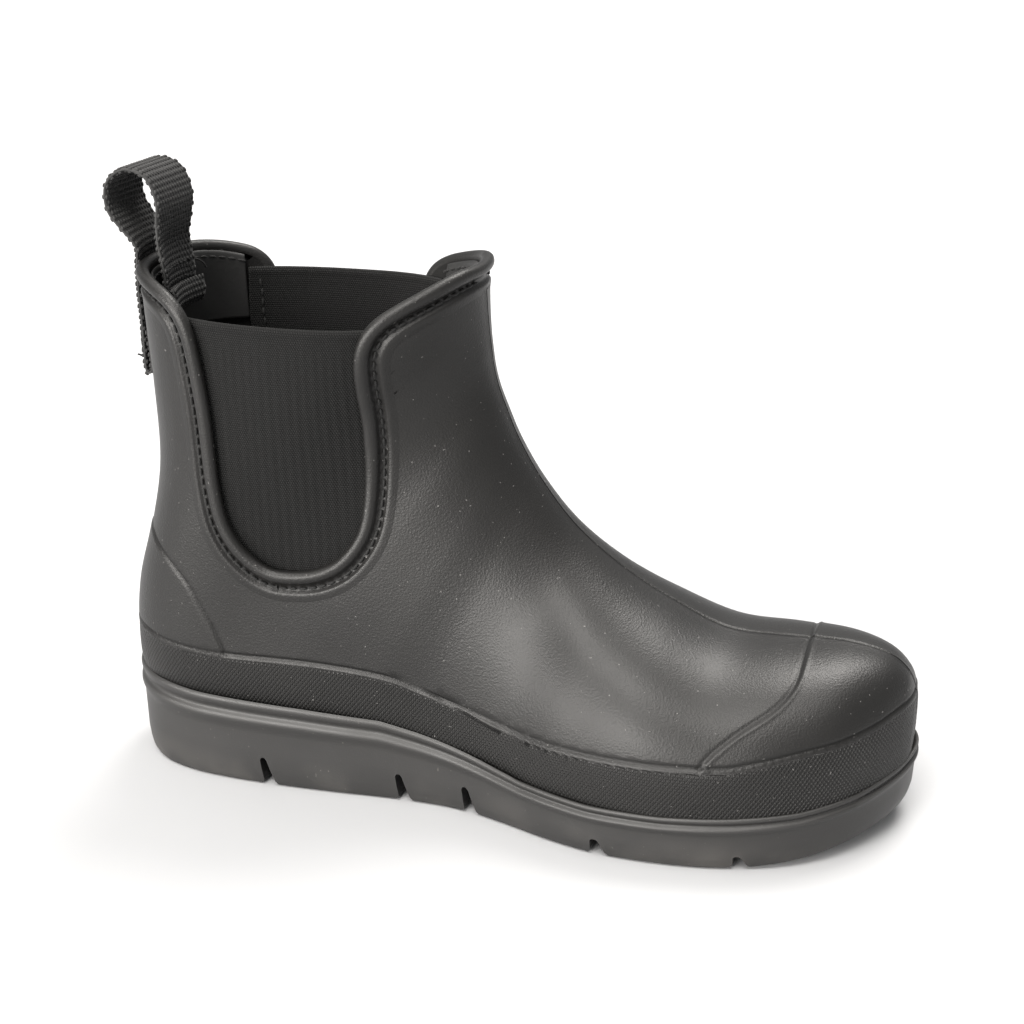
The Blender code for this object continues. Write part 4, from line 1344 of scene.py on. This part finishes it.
@dataclass
class Sole:
    """Cup sole with its double lip, plain side wall and cut tread."""

    last: Last
    toe_spring: float = 10.0
    toe_spring_start: float = 74.0
    toe_end: float = 138.4
    heel_bevel: float = 2.2
    heel_bevel_start: float = -122.0
    points: int = 400

    # Inset from the outline, and height from the ground (0) to the lip (1)
    PROFILE = [(3.1, 0.0), (2.5, 0.02), (2.1, 0.07), (1.5, 0.2), (1.2, 0.45), (1.0, 0.62), (0.8, 0.68),
               (0.25, 0.72), (0.0, 0.755), (0.05, 0.79), (0.5, 0.815), (0.95, 0.83), (1.15, 0.85),
               (1.05, 0.875), (0.55, 0.9), (0.2, 0.925), (0.1, 0.955), (0.3, 0.985), (0.8, 1.0),
               (1.4, 0.992), (2.0, 0.95), (3.4, 0.86), (4.4, 0.7), (7.0, 0.57), (12.0, 0.5)]
    # V channels that reach the edge: x, half-width, depth
    CHANNELS = [(-82.6, 2.8, 10.6), (-33.0, 2.8, 10.4), (-8.4, 3.0, 10.0), (40.0, 3.4, 5.8),
                (87.0, 3.0, 4.6)]
    LEAN = 0.18
    SIPES = [-124.0, -110.0, -96.0, -66.0, -50.0, 10.0, 25.0, 56.0, 71.0, 102.0]

    def tread_height(self, x: np.ndarray) -> np.ndarray:
        """Height of the tread's face at x.

        Args:
            x: places along the sole.
        Returns:
            One height per place.
        """
        toe = np.clip((x - self.toe_spring_start) / (self.toe_end - self.toe_spring_start), 0, None)
        heel_run = -SOLE_HEEL_X + self.heel_bevel_start
        heel = np.clip((self.heel_bevel_start - x) / heel_run, 0, None)
        return self.toe_spring * toe ** 2 + self.heel_bevel * heel ** 2

    def outline(self) -> np.ndarray:
        """Evenly spaced outline of the lip.

        Returns:
            One row (x, y) per point.
        """
        knots = SOLE_OUTLINE[-2:] + SOLE_OUTLINE + SOLE_OUTLINE[:3]
        span = np.linspace(2, 2 + len(SOLE_OUTLINE), 8 * len(SOLE_OUTLINE) + 1)
        return even(through(knots, span), count=self.points + 1)[:-1]

    def build(self, rubber: bpy.types.Material) -> bpy.types.Object:
        """Make the sole.

        Args:
            rubber: its finish.
        Returns:
            The object.
        """
        ring = self.outline()
        tangent = np.roll(ring, -1, axis=0) - np.roll(ring, 1, axis=0)
        inward = np.stack([-tangent[:, 1], tangent[:, 0]], 1)
        inward /= np.linalg.norm(inward, axis=1)[:, None]
        rows = []
        for inset, share in self.PROFILE:
            xy = ring + inset * inward
            low, high = self.tread_height(xy[:, 0]), lip_height(xy[:, 0])
            rows.append(np.column_stack([xy, low + share * (high - low)]))
        faces = grid_faces(len(rows), self.points, closed=True)
        faces += self.ladder(0) + self.ladder((len(rows) - 1) * self.points)
        sole = new_object("rain_boot_sole", self.last.place(np.vstack(rows)), faces, rubber)
        cutter = self.cutter(rubber)
        cut = sole.modifiers.new("tread", "BOOLEAN")
        cut.operation, cut.object, cut.solver = "DIFFERENCE", cutter, "EXACT"
        bpy.context.view_layer.update()
        ready = sole.evaluated_get(bpy.context.evaluated_depsgraph_get())
        mesh = bpy.data.meshes.new_from_object(ready)
        sole.modifiers.clear()
        sole.data = mesh
        bpy.data.objects.remove(cutter, do_unlink=True)
        mesh.shade_smooth()
        mesh.set_sharp_from_angle(angle=math.radians(45))
        return sole

    def ladder(self, start: int) -> list:
        """Quads that close a ring by joining its outer side to its inner side.

        Args:
            start: index of the ring's first point.
        Returns:
            The faces.
        """
        n = self.points
        rungs = [(start + k, start + (n - k) % n) for k in range(1, n // 2)]
        faces = [(start, *rungs[0]), (start + n // 2, rungs[-1][1], rungs[-1][0])]
        return faces + [(a[0], b[0], b[1], a[1]) for a, b in zip(rungs, rungs[1:])]

    def cutter(self, rubber: bpy.types.Material) -> bpy.types.Object:
        """Bars that cut the channels and sipes.

        Args:
            rubber: finish of the cut faces.
        Returns:
            The cutting object.
        """
        points, faces = [], []
        ring = self.outline()
        for x, half, depth in self.CHANNELS:
            base, lean = float(self.tread_height(np.array(x))), depth * self.LEAN
            outline = [(x - half * 1.5, base - 3.0), (x + half * 1.5, base - 3.0),
                       (x + half * 1.1, base + 0.2), (x + half * 0.7, base + 1.4),
                       (x - lean + half * 0.42, base + depth * 0.9),
                       (x - lean + half * 0.15, base + depth), (x - lean - half * 0.25, base + depth),
                       (x - lean - half * 0.45, base + depth * 0.9), (x - half * 0.75, base + 1.4),
                       (x - half * 1.1, base + 0.2)]
            self.bar(points, faces, outline, -80.0, 80.0)
        for x in self.SIPES:
            base = float(self.tread_height(np.array(x)))
            outline = [(x - 1.8, base - 3.0), (x + 1.8, base - 3.0), (x + 1.3, base + 2.6),
                       (x - 1.3, base + 2.6)]
            near = ring[np.abs(ring[:, 0] - x) < 2.0]
            self.bar(points, faces, outline, near[:, 1].min() + 9.0, near[:, 1].max() - 9.0)
        return new_object("tread_cutter", self.last.place(points), faces, rubber)

    def bar(self, points: list, faces: list, outline: list, low: float, high: float) -> None:
        """Add a prism along Y to the cutter's points and faces.

        Args:
            points: the cutter's points so far.
            faces: the cutter's faces so far.
            outline: the prism's section (x, z).
            low: y of its outer end.
            high: y of its inner end.
        """
        start, n = len(points), len(outline)
        points += [(x, y, z) for y in (low, high) for x, z in outline]
        faces += [(start + i, start + (i + 1) % n, start + n + (i + 1) % n, start + n + i)
                  for i in range(n)]
        faces += [tuple(range(start, start + n)), tuple(range(start + 2 * n - 1, start + n - 1, -1))]


# ---------------------------------------------------------------- gores

@dataclass
class Gore:
    """Woven elastic panel sewn behind the rim, with a folded hem along its top."""

    last: Last
    side: Side
    depth: float = 3.6
    thickness: float = 1.5
    margin: float = 9.0
    top: float = 166.5
    columns: int = 90
    rows: int = 120

    def edges(self) -> tuple[np.ndarray, np.ndarray]:
        """Front and rear edge with the seam allowance, each from its foot up: (x, z).

        Returns:
            The two edges.
        """
        window = beside(smooth_line(WINDOW), self.margin)
        foot = int(np.argmin(window[:, 1]))
        return window[:foot + 1][::-1], window[foot:]

    def span(self, z: float) -> tuple[float, float]:
        """x of the rear and the front edge at a height.

        Args:
            z: the height.
        Returns:
            The two values of x.
        """
        front, rear = self.edges()
        return (float(np.interp(z, rear[:, 1], rear[:, 0])),
                float(np.interp(z, front[:, 1], front[:, 0])))

    def build(self, elastic: bpy.types.Material) -> bpy.types.Object:
        """Make the panel.

        Args:
            elastic: its finish.
        Returns:
            The object.
        """
        low = self.edges()[0][0, 1] + 0.2
        share = np.linspace(0, 1, self.rows) ** 1.5
        face, back, weave = [], [], []
        for z in low + (self.top - low) * share:
            rear, front = self.span(z)
            x = np.linspace(rear, front, self.columns)
            t, angle = self.last.locate(np.column_stack([x, np.full_like(x, z)]), self.side)
            from_top = self.top - z
            hem = 0.55 * hump(np.array(from_top), 1.3, 1.3) + 0.4 * hump(np.array(from_top), 4.2, 1.1)
            ripple = 0.10 * np.sin(x * 1.9 + 0.02 * z) * step_up(np.array(from_top), 3.0, 12.0)
            out = -self.depth + hem + ripple
            face.append(self.last.lifted(t, angle, out * np.ones_like(x)))
            back.append(self.last.lifted(t, angle, np.full_like(x, -self.depth - self.thickness - hem)))
            weave.append(np.column_stack([x, np.full_like(x, z), np.zeros_like(x)]))
        face, back, weave = np.array(face), np.array(back), np.array(weave)
        rings = np.concatenate([face, back[:, ::-1]], axis=1)
        crest = (face[-1] + back[-1]) / 2
        crest[:, 2] += 0.7
        top_ring = np.concatenate([face[-1] * 0.35 + crest * 0.65, (back[-1] * 0.35 + crest * 0.65)[::-1]])
        rings = np.concatenate([rings, top_ring[None]])
        name = f"gore_{self.side.name.lower()}"
        item = sweep(name, self.last.place(rings), elastic)
        weave = np.concatenate([weave, weave[:, ::-1]], axis=1)
        weave = np.concatenate([weave, weave[-1:]])
        store(item, "weave", weave.reshape(-1, 3))
        width = 1.02 * (self.span(self.top)[1] - self.span(self.top)[0]) * MM
        area = float(sum(abs(a - b) for a, b in (self.span(z) for z in np.arange(low, self.top))) * MM * MM)
        return item


# ---------------------------------------------------------------- seams

@dataclass
class Seams:
    """Stitches along the collar's groove, on the gores' inner faces and on the facings."""

    last: Last
    collar: Collar
    stitches: RunOfStitches
    groove: float = 3.9             # distance of the seam from the rim's centre
    pitch: float = 3.5
    length: float = 2.95
    width: float = 0.95

    def values(self, thread: bpy.types.Material, seed: int) -> dict:
        """Inputs of the stitch nodes for a seam.

        Args:
            thread: its finish.
            seed: seed of the unevenness.
        Returns:
            The inputs by name.
        """
        return {"Pitch": self.pitch * MM, "Stitch Length": self.length * MM,
                "Stitch Width": self.width * MM, "Stitch Height": self.width * MM,
                "Roundness": 2, "Unevenness": 0.08, "Seed": seed, "Material": thread}

    def outer(self, side: Side, thread: bpy.types.Material) -> bpy.types.Object:
        """Stitches in the groove of one side, from the middle of the front to that of the back.

        Args:
            side: which side of the boot.
            thread: its finish.
        Returns:
            The object.
        """
        t, angle = self.collar.half(side, self.groove)
        line = self.last.place(self.last.lifted(t, angle, np.full(len(t), -0.45)))
        name = f"seam_{side.name.lower()}"
        return self.stitches.run(name, [(line, self.last.normals(t, angle), False)],
                                 self.values(thread, 3 + side.value))

    def facing(self, end: End, thread: bpy.types.Material, depth: float) -> bpy.types.Object:
        """Stitches along the upper edge of a facing, on its inner face.

        Args:
            end: which end of the shaft.
            thread: its finish.
            depth: depth of the facing's inner face.
        Returns:
            The object.
        """
        t, angle = self.collar.ring(3.2)
        place = self.last.at(t, angle)
        keep = ((place[:, 0] - FACING_EDGE[end]) * end.value > 1.0) & (place[:, 2] > 155.0)
        keep = np.roll(keep, len(keep) // 2) if end is End.FRONT else keep
        t, angle = (np.roll(t, len(t) // 2), np.roll(angle, len(t) // 2)) if end is End.FRONT else (t, angle)
        t, angle = t[keep], angle[keep]
        line = self.last.place(self.last.lifted(t, angle, np.full(len(t), -depth)))
        return self.stitches.run(f"facing_stitches_{end.name.lower()}",
                                 [(line, -self.last.normals(t, angle), False)],
                                 self.values(thread, 11 + end.value))

    def allowance(self, side: Side, thread: bpy.types.Material, depth: float) -> bpy.types.Object:
        """Stitches through the gore's seam allowance, seen from inside the boot.

        Args:
            side: which side of the boot.
            thread: its finish.
            depth: depth of the gore's inner face.
        Returns:
            The object.
        """
        t, angle = self.collar.half(side, self.groove)
        place = self.last.at(t, angle)
        low = place[:, 2] < 164.0
        line = self.last.place(self.last.lifted(t, angle, np.full(len(t), -depth)))[low]
        normal = -self.last.normals(t, angle)[low]
        return self.stitches.run(f"allowance_stitches_{side.name.lower()}", [(line, normal, False)],
                                 self.values(thread, 21 + side.value))


# ---------------------------------------------------------------- facings

@dataclass
class CollarFacing:
    """Smooth facing laid inside the collar round its back or its front."""

    last: Last
    collar: Collar
    end: End
    depth: float = 3.35
    thickness: float = 1.2
    foot: float = 151.0
    drop: float = 1.0

    def build(self, finish: bpy.types.Material) -> bpy.types.Object:
        """Make the facing.

        Args:
            finish: its finish.
        Returns:
            The object.
        """
        count, rows = 150, 26
        middle = math.pi if self.end is End.REAR else 0.0
        columns = []
        reach = {side: self.side_angle(side) for side in Side}
        for f in np.linspace(0, 1, count):
            a = reach[Side.OUTER] + f * (reach[Side.INNER] - reach[Side.OUTER])
            columns.append(middle + a)
        angle = np.array(columns)
        top_t, top_a = self.collar.ring(self.drop)
        top = self.last.at(top_t, top_a)
        near = (top[:, 0] + 70.0) * self.end.value > 30.0
        order = np.argsort(wrapped(top_a[near] - middle))
        top_at = np.interp(wrapped(angle - middle), wrapped(top_a[near] - middle)[order],
                           top[near][order, 2])
        sheets = []
        for depth in (self.depth, self.depth + self.thickness):
            grid = []
            for share in np.linspace(0, 1, rows):
                z = self.foot + share * (top_at - self.foot)
                t = self.last.at_height(angle, z)
                round_off = 0.35 * step_up(np.array(share), 0.9, 1.0)
                level = depth + (round_off if depth == self.depth else -round_off)
                grid.append(self.last.lifted(t, angle, np.full(count, -level)))
            sheets.append(np.array(grid))
        rings = np.concatenate([sheets[0], sheets[1][:, ::-1]], axis=1)
        return sweep(f"facing_{self.end.name.lower()}", self.last.place(rings), finish)

    def side_angle(self, side: Side) -> float:
        """Angle of the facing's side edge, counted from the middle of its end."""
        t, angle = self.last.locate(np.array([(FACING_EDGE[self.end], self.foot + 10.0)]), side)
        return wrapped(angle - (math.pi if self.end is End.REAR else 0.0))[0]


def wrapped(angle: np.ndarray) -> np.ndarray:
    """Angles brought between -pi and pi."""
    return (np.asarray(angle) + math.pi) % (2 * math.pi) - math.pi


# ---------------------------------------------------------------- pull loop

@dataclass
class PullLoop:
    """One length of ribbed webbing: outer leg with a folded end, bow above the collar, inner leg."""

    last: Last
    stitches: RunOfStitches
    width: float = 25.0
    thickness: float = 1.25
    pick_pitch: float = 1.7
    row_pitch: float = 1.95
    pick_height: float = 1.0
    turn: float = 0.09
    blend_low: float = 180.0
    blend_high: float = 189.0

    # Centre line in the side view, from the cut end under the outer leg to the end of the inner leg
    PATH = [(-132.1, 155.0), (-131.5, 146.0), (-131.5, 141.8), (-132.6, 140.6), (-133.6, 142.0),
            (-133.9, 150.0), (-134.2, 160.0), (-134.7, 170.0), (-134.7, 178.0), (-134.5, 185.0),
            (-137.8, 191.0), (-141.6, 198.2), (-141.0, 206.2), (-134.6, 211.0), (-126.8, 208.6),
            (-123.2, 200.2), (-124.2, 192.0), (-126.0, 185.6), (-125.4, 180.0), (-124.6, 174.0),
            (-124.7, 168.0), (-124.0, 163.8), (-122.6, 162.4), (-121.3, 163.8), (-121.2, 167.0),
            (-121.8, 170.0)]

    def frames(self, step: float) -> tuple[np.ndarray, np.ndarray]:
        """Points of the centre line and its left-hand normals in the side view.

        Args:
            step: spacing of the points.
        Returns:
            The points and the normals.
        """
        line = even(smooth_line(self.PATH), step=step)
        tangent = np.gradient(line, axis=0)
        tangent /= np.linalg.norm(tangent, axis=1)[:, None]
        return line, np.stack([-tangent[:, 1], tangent[:, 0]], 1)

    def back_curve(self, x: np.ndarray, y: np.ndarray, z: np.ndarray) -> np.ndarray:
        """x moved with y, so that the legs follow the round of the shaft and the bow turns a little."""
        follow = 1 - step_up(z, 182.0, 196.0)
        return x + follow * (y * y) / (2 * 38.0) + (1 - follow) * self.turn * y

    def build(self, webbing: bpy.types.Material) -> bpy.types.Object:
        """Make the webbing with its picks.

        Args:
            webbing: its finish.
        Returns:
            The joined object.
        """
        line, normal = self.frames(0.9)
        across = np.linspace(-0.5, 0.5, 15)
        rings = []
        for (x, z), (nx, nz) in zip(line, normal):
            ring = []
            for face in (0.5, -0.5):
                for y in (across if face > 0 else across[::-1]):
                    off = face * self.thickness * (1 - 0.5 * abs(2 * y) ** 10)
                    ring.append((x + off * nx, y * self.width, z + off * nz))
            rings.append(ring)
        rings = np.array(rings)
        rings[..., 0] = self.back_curve(rings[..., 0], rings[..., 1], rings[..., 2])
        body = sweep("webbing_body", self.last.place(rings), webbing)
        picks = self.picks(webbing)
        return join("pull_loop_webbing", [body, picks])

    def picks(self, webbing: bpy.types.Material) -> bpy.types.Object:
        """Rows of raised picks across both faces, every other row set half a pick over.

        Args:
            webbing: its finish.
        Returns:
            The object.
        """
        line, normal = self.frames(self.row_pitch)
        paths = []
        half = self.width / 2 - 0.55
        for k, ((x, z), (nx, nz)) in enumerate(zip(line, normal)):
            inset = self.pick_pitch / 2 * (k % 2)
            count = int((2 * half - 2 * inset) / self.pick_pitch)
            y = np.linspace(-half + inset, -half + inset + count * self.pick_pitch, count + 1)
            for face in (0.5, -0.5):
                off = face * self.thickness
                row = np.column_stack([np.full_like(y, x + off * nx), y, np.full_like(y, z + off * nz)])
                row[:, 0] = self.back_curve(row[:, 0], row[:, 1], row[:, 2])
                out = np.tile((face * 2 * nx, 0.0, face * 2 * nz), (len(y), 1))
                paths.append((self.last.place(row), out, False))
        return self.stitches.run("webbing_picks", paths, {
            "Pitch": self.pick_pitch * MM * 0.999, "Stitch Length": 1.15 * MM, "Stitch Width": 1.9 * MM,
            "Stitch Height": self.pick_height * MM, "Roundness": 1, "Unevenness": 0.05, "Seed": 7,
            "Material": webbing})

    def box_stitches(self, low: float, high: float, shift: float, name: str,
                     thread: bpy.types.Material, facing: int) -> bpy.types.Object:
        """Sewn rectangle on the face of a leg.

        Args:
            low: its lower line.
            high: its upper line.
            shift: x of the leg's face.
            name: the object's name.
            thread: its finish.
            facing: -1 for the outer leg, 1 for the inner one.
        Returns:
            The object.
        """
        half = self.width / 2 - 3.5
        ring = even([(half, low), (-half, low), (-half, high), (half, high), (half, low)],
                    step=1.0)[:-1]
        x = self.back_curve(np.full(len(ring), shift), ring[:, 0], ring[:, 1])
        line = self.last.place(np.column_stack([x, ring[:, 0], ring[:, 1]]))
        out = np.tile((float(facing), 0.0, 0.0), (len(line), 1))
        return self.stitches.run(name, [(line, out, True)], {
            "Pitch": 2.6 * MM, "Stitch Length": 2.2 * MM, "Stitch Width": 0.8 * MM,
            "Stitch Height": 0.8 * MM, "Roundness": 2, "Unevenness": 0.08, "Seed": 5,
            "Material": thread})

    def loose_end(self, name: str, knots: list, thread: bpy.types.Material) -> bpy.types.Object:
        """Thread end left after the seam was cut.

        Args:
            name: the object's name.
            knots: points of its centre line on the last.
            thread: its finish.
        Returns:
            The object.
        """
        line = smooth_line(knots, 6)
        tangent = np.gradient(line, axis=0)
        tangent /= np.linalg.norm(tangent, axis=1)[:, None]
        side = np.cross(tangent, (0.3, 0.2, 1.0))
        side /= np.linalg.norm(side, axis=1)[:, None]
        up = np.cross(tangent, side)
        turn = np.linspace(0, 2 * math.pi, 8, endpoint=False)
        rings = line[:, None] + 0.32 * (side[:, None] * np.cos(turn)[None, :, None]
                                        + up[:, None] * np.sin(turn)[None, :, None])
        return sweep(name, self.last.place(rings), thread)


# ---------------------------------------------------------------- footbed

@dataclass
class Insole:
    """Removable footbed: a foam layer and its cloth cover, with rounded edges."""

    last: Last
    sole: Sole
    heel: float = -126.0
    toe: float = 120.0
    margin: float = 11.0
    base: float = 3.7               # above the upper's outer bottom
    rows: int = 90
    columns: int = 30

    def layer(self, name: str, low: float, high: float, finish: bpy.types.Material) -> bpy.types.Object:
        """One layer of the footbed.

        Args:
            name: the object's name.
            low: height of its lower face above the floor.
            high: height of its upper face above the floor.
            finish: its finish.
        Returns:
            The object.
        """
        ring = self.sole.outline()
        middle, reach = (self.heel + self.toe) / 2, (self.toe - self.heel) / 2
        rings = []
        for f in np.linspace(0.03, 0.97, self.rows):
            x = middle - reach * math.cos(math.pi * f)
            near = ring[np.abs(ring[:, 0] - x) < 2.5]
            centre = (near[:, 1].min() + near[:, 1].max()) / 2
            half = (near[:, 1].max() - near[:, 1].min()) / 2 - self.margin
            half *= math.sqrt(1 - abs((x - middle) / reach) ** 9)
            s = np.sin(np.linspace(-math.pi / 2, math.pi / 2, self.columns))
            floor = np.array([self.last.floor(x, centre + half * k) for k in s]) + self.base
            swell = 1 - 0.35 * np.abs(s) ** 14
            upper = np.column_stack([np.full_like(s, x), centre + half * s,
                                     floor + low + (high - low) * swell])
            lower = np.column_stack([np.full_like(s, x), centre + half * s * 0.985, floor + low])
            rings.append(np.concatenate([upper, lower[::-1]]))
        return sweep(name, self.last.place(np.array(rings)), finish)


# ---------------------------------------------------------------- studio

@dataclass
class Studio:
    """Plain pale floor, soft lights and the camera."""

    camera_place: tuple = (0.1764, -0.6440, 0.3424)
    look_at: tuple = (0.0028, -0.0095, 0.1030)
    lens: float = 73.4

    def build(self) -> None:
        """Set up the camera, the floor and the lights."""
        camera = bpy.data.objects.new("camera", bpy.data.cameras.new("camera"))
        camera.data.lens = self.lens
        camera.data.sensor_width = 36.0
        camera.location = self.camera_place
        aim = Vector(self.look_at) - Vector(self.camera_place)
        camera.rotation_euler = aim.to_track_quat("-Z", "Y").to_euler()
        bpy.context.scene.collection.objects.link(camera)
        bpy.context.scene.camera = camera
        bpy.context.scene.view_settings.view_transform = "Standard"
        self.floor()
        self.light("ceiling", (-0.15, -0.1, 1.0), 2.8, 75.0)
        self.light("top", (0.13, 0.47, 0.88), 3.0, 26.0)
        self.light("front", (-0.05, -0.5, 0.86), 2.7, 28.0)
        self.light("low", (-0.25, -0.9, 0.28), 4.2, 28.0)
        self.light("left", (-0.7, -0.71, 0.05), 4.0, 24.0)
        world = bpy.context.scene.world or bpy.data.worlds.new("world")
        bpy.context.scene.world = world
        world.use_nodes = True
        background = world.node_tree.nodes["Background"]
        background.inputs["Color"].default_value = (1.0, 1.0, 1.0, 1.0)
        background.inputs["Strength"].default_value = 0.45

    def floor(self) -> None:
        """Pale floor that runs to the horizon."""
        half = 6.0
        finish = Nodes("studio_floor")
        finish.shader.inputs["Base Color"].default_value = (0.37, 0.375, 0.385, 1.0)
        finish.shader.inputs["Roughness"].default_value = 0.7
        corners = [(-half, -half, -0.0004), (half, -half, -0.0004), (half, half, -0.0004),
                   (-half, half, -0.0004)]
        floor = new_object("floor", np.array(corners), [(0, 1, 2, 3)], finish.material)

    def light(self, name: str, source: tuple, strength: float, spread: float) -> None:
        """Even, slightly warm light.

        Args:
            name: the lamp's name.
            source: direction that it comes from.
            strength: its irradiance.
            spread: how many degrees wide it is.
        """
        lamp = bpy.data.lights.new(name, "SUN")
        lamp.energy, lamp.angle = strength, math.radians(spread)
        lamp.color = (1.0, 0.97, 0.93)
        item = bpy.data.objects.new(name, lamp)
        item.rotation_euler = Vector(source).to_track_quat("Z", "Y").to_euler()
        bpy.context.scene.collection.objects.link(item)


# ---------------------------------------------------------------- assembly

def main() -> None:
    """Build every piece of the boot and hand over all but the pull loop's webbing."""
    logging.basicConfig(level=logging.INFO, format="%(name)s %(message)s")
    Studio().build()
    last = Last()
    collar = Collar(last)
    stitches = RunOfStitches()

    rubber, sole_rubber, elastic = MouldedRubber().make(), SoleRubber().make(), Elastic().make()
    facing_finish = Facing().make()
    thread = Yarn("sewing_thread", 0.004).make()
    webbing = Yarn("ribbed_webbing", 0.020).make()
    foam, cloth = Footbed("footbed_foam", 0.05, 900.0).make(), Footbed("footbed_cloth", 0.03, 1300.0).make()

    upper = Upper(last, collar).build(rubber)
    Piece("upper", upper, "boot", "upper_rubber", ["upper_shell"]).hand_over()
    sole = Sole(last)
    Piece("sole", sole.build(sole_rubber), "boot", "sole_rubber", ["outsole"]).hand_over()

    seams = Seams(last, collar, stitches)
    for side, node, top in ((Side.OUTER, "lateral", 166.5), (Side.INNER, "medial", 169.0)):
        gore = Gore(last, side, top=top)
        Piece(f"gore {node}", gore.build(elastic), "boot", "gore_elastic", ["gore_" + node]).hand_over()
        Piece(f"seam {node}", seams.outer(side, thread), "boot", "thread",
              ["seam_thread_" + node]).hand_over()
        inner_face = gore.depth + gore.thickness + 0.1
        Piece(f"allowance {node}", seams.allowance(side, thread, inner_face), "boot", "thread").hand_over()

    for end, node in ((End.REAR, "rear"), (End.FRONT, "front")):
        facing = CollarFacing(last, collar, end)
        Piece(f"facing {node}", facing.build(facing_finish), "boot", "collar_facing",
              ["facing_" + node]).hand_over()
        depth = facing.depth + facing.thickness + 0.1
        Piece(f"facing stitches {node}", seams.facing(end, thread, depth), "boot", "thread",
              ["facing_thread_" + node]).hand_over()

    loop = PullLoop(last, stitches)
    strap = loop.build(webbing)
    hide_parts("pull_loop_bow", "pull_loop_outer_tail", "pull_loop_inner_tail")
    low, high = (last.place([(-130.8, 0.0, z)])[0] for z in (loop.blend_low, loop.blend_high))
    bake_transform(strap)
    Piece("outer box stitch", loop.box_stitches(146.0, 158.0, -135.1, "loop_stitch_outside", thread, -1),
          "boot", "thread", ["loop_stitch_outer"]).hand_over()
    Piece("inner box stitch", loop.box_stitches(171.5, 176.5, -123.9, "loop_stitch_inside", thread, 1),
          "boot", "thread", ["loop_stitch_inner"]).hand_over()
    for name, knots in (("loose_end_outside", [(-134.6, -7.5, 145.0), (-135.5, -8.0, 145.7),
                                               (-136.3, -8.4, 146.0)]),
                        ("loose_end_inside", [(-123.9, 14.5, 175.4), (-122.6, 15.6, 175.0),
                                              (-121.2, 17.0, 173.6), (-120.6, 17.8, 171.8)])):
        Piece(name, loop.loose_end(name, knots, thread), "boot", "thread").hand_over()

    insole = Insole(last, sole)
    Piece("footbed foam", insole.layer("footbed_foam", 0.0, 4.2, foam), "insole", "footbed_foam",
          ["insole_foam"]).hand_over()
    Piece("footbed cover", insole.layer("footbed_cover", 4.4, 5.4, cloth), "insole", "footbed_cloth",
          ["insole_cover"]).hand_over()


if __name__ == "__main__":
    main()
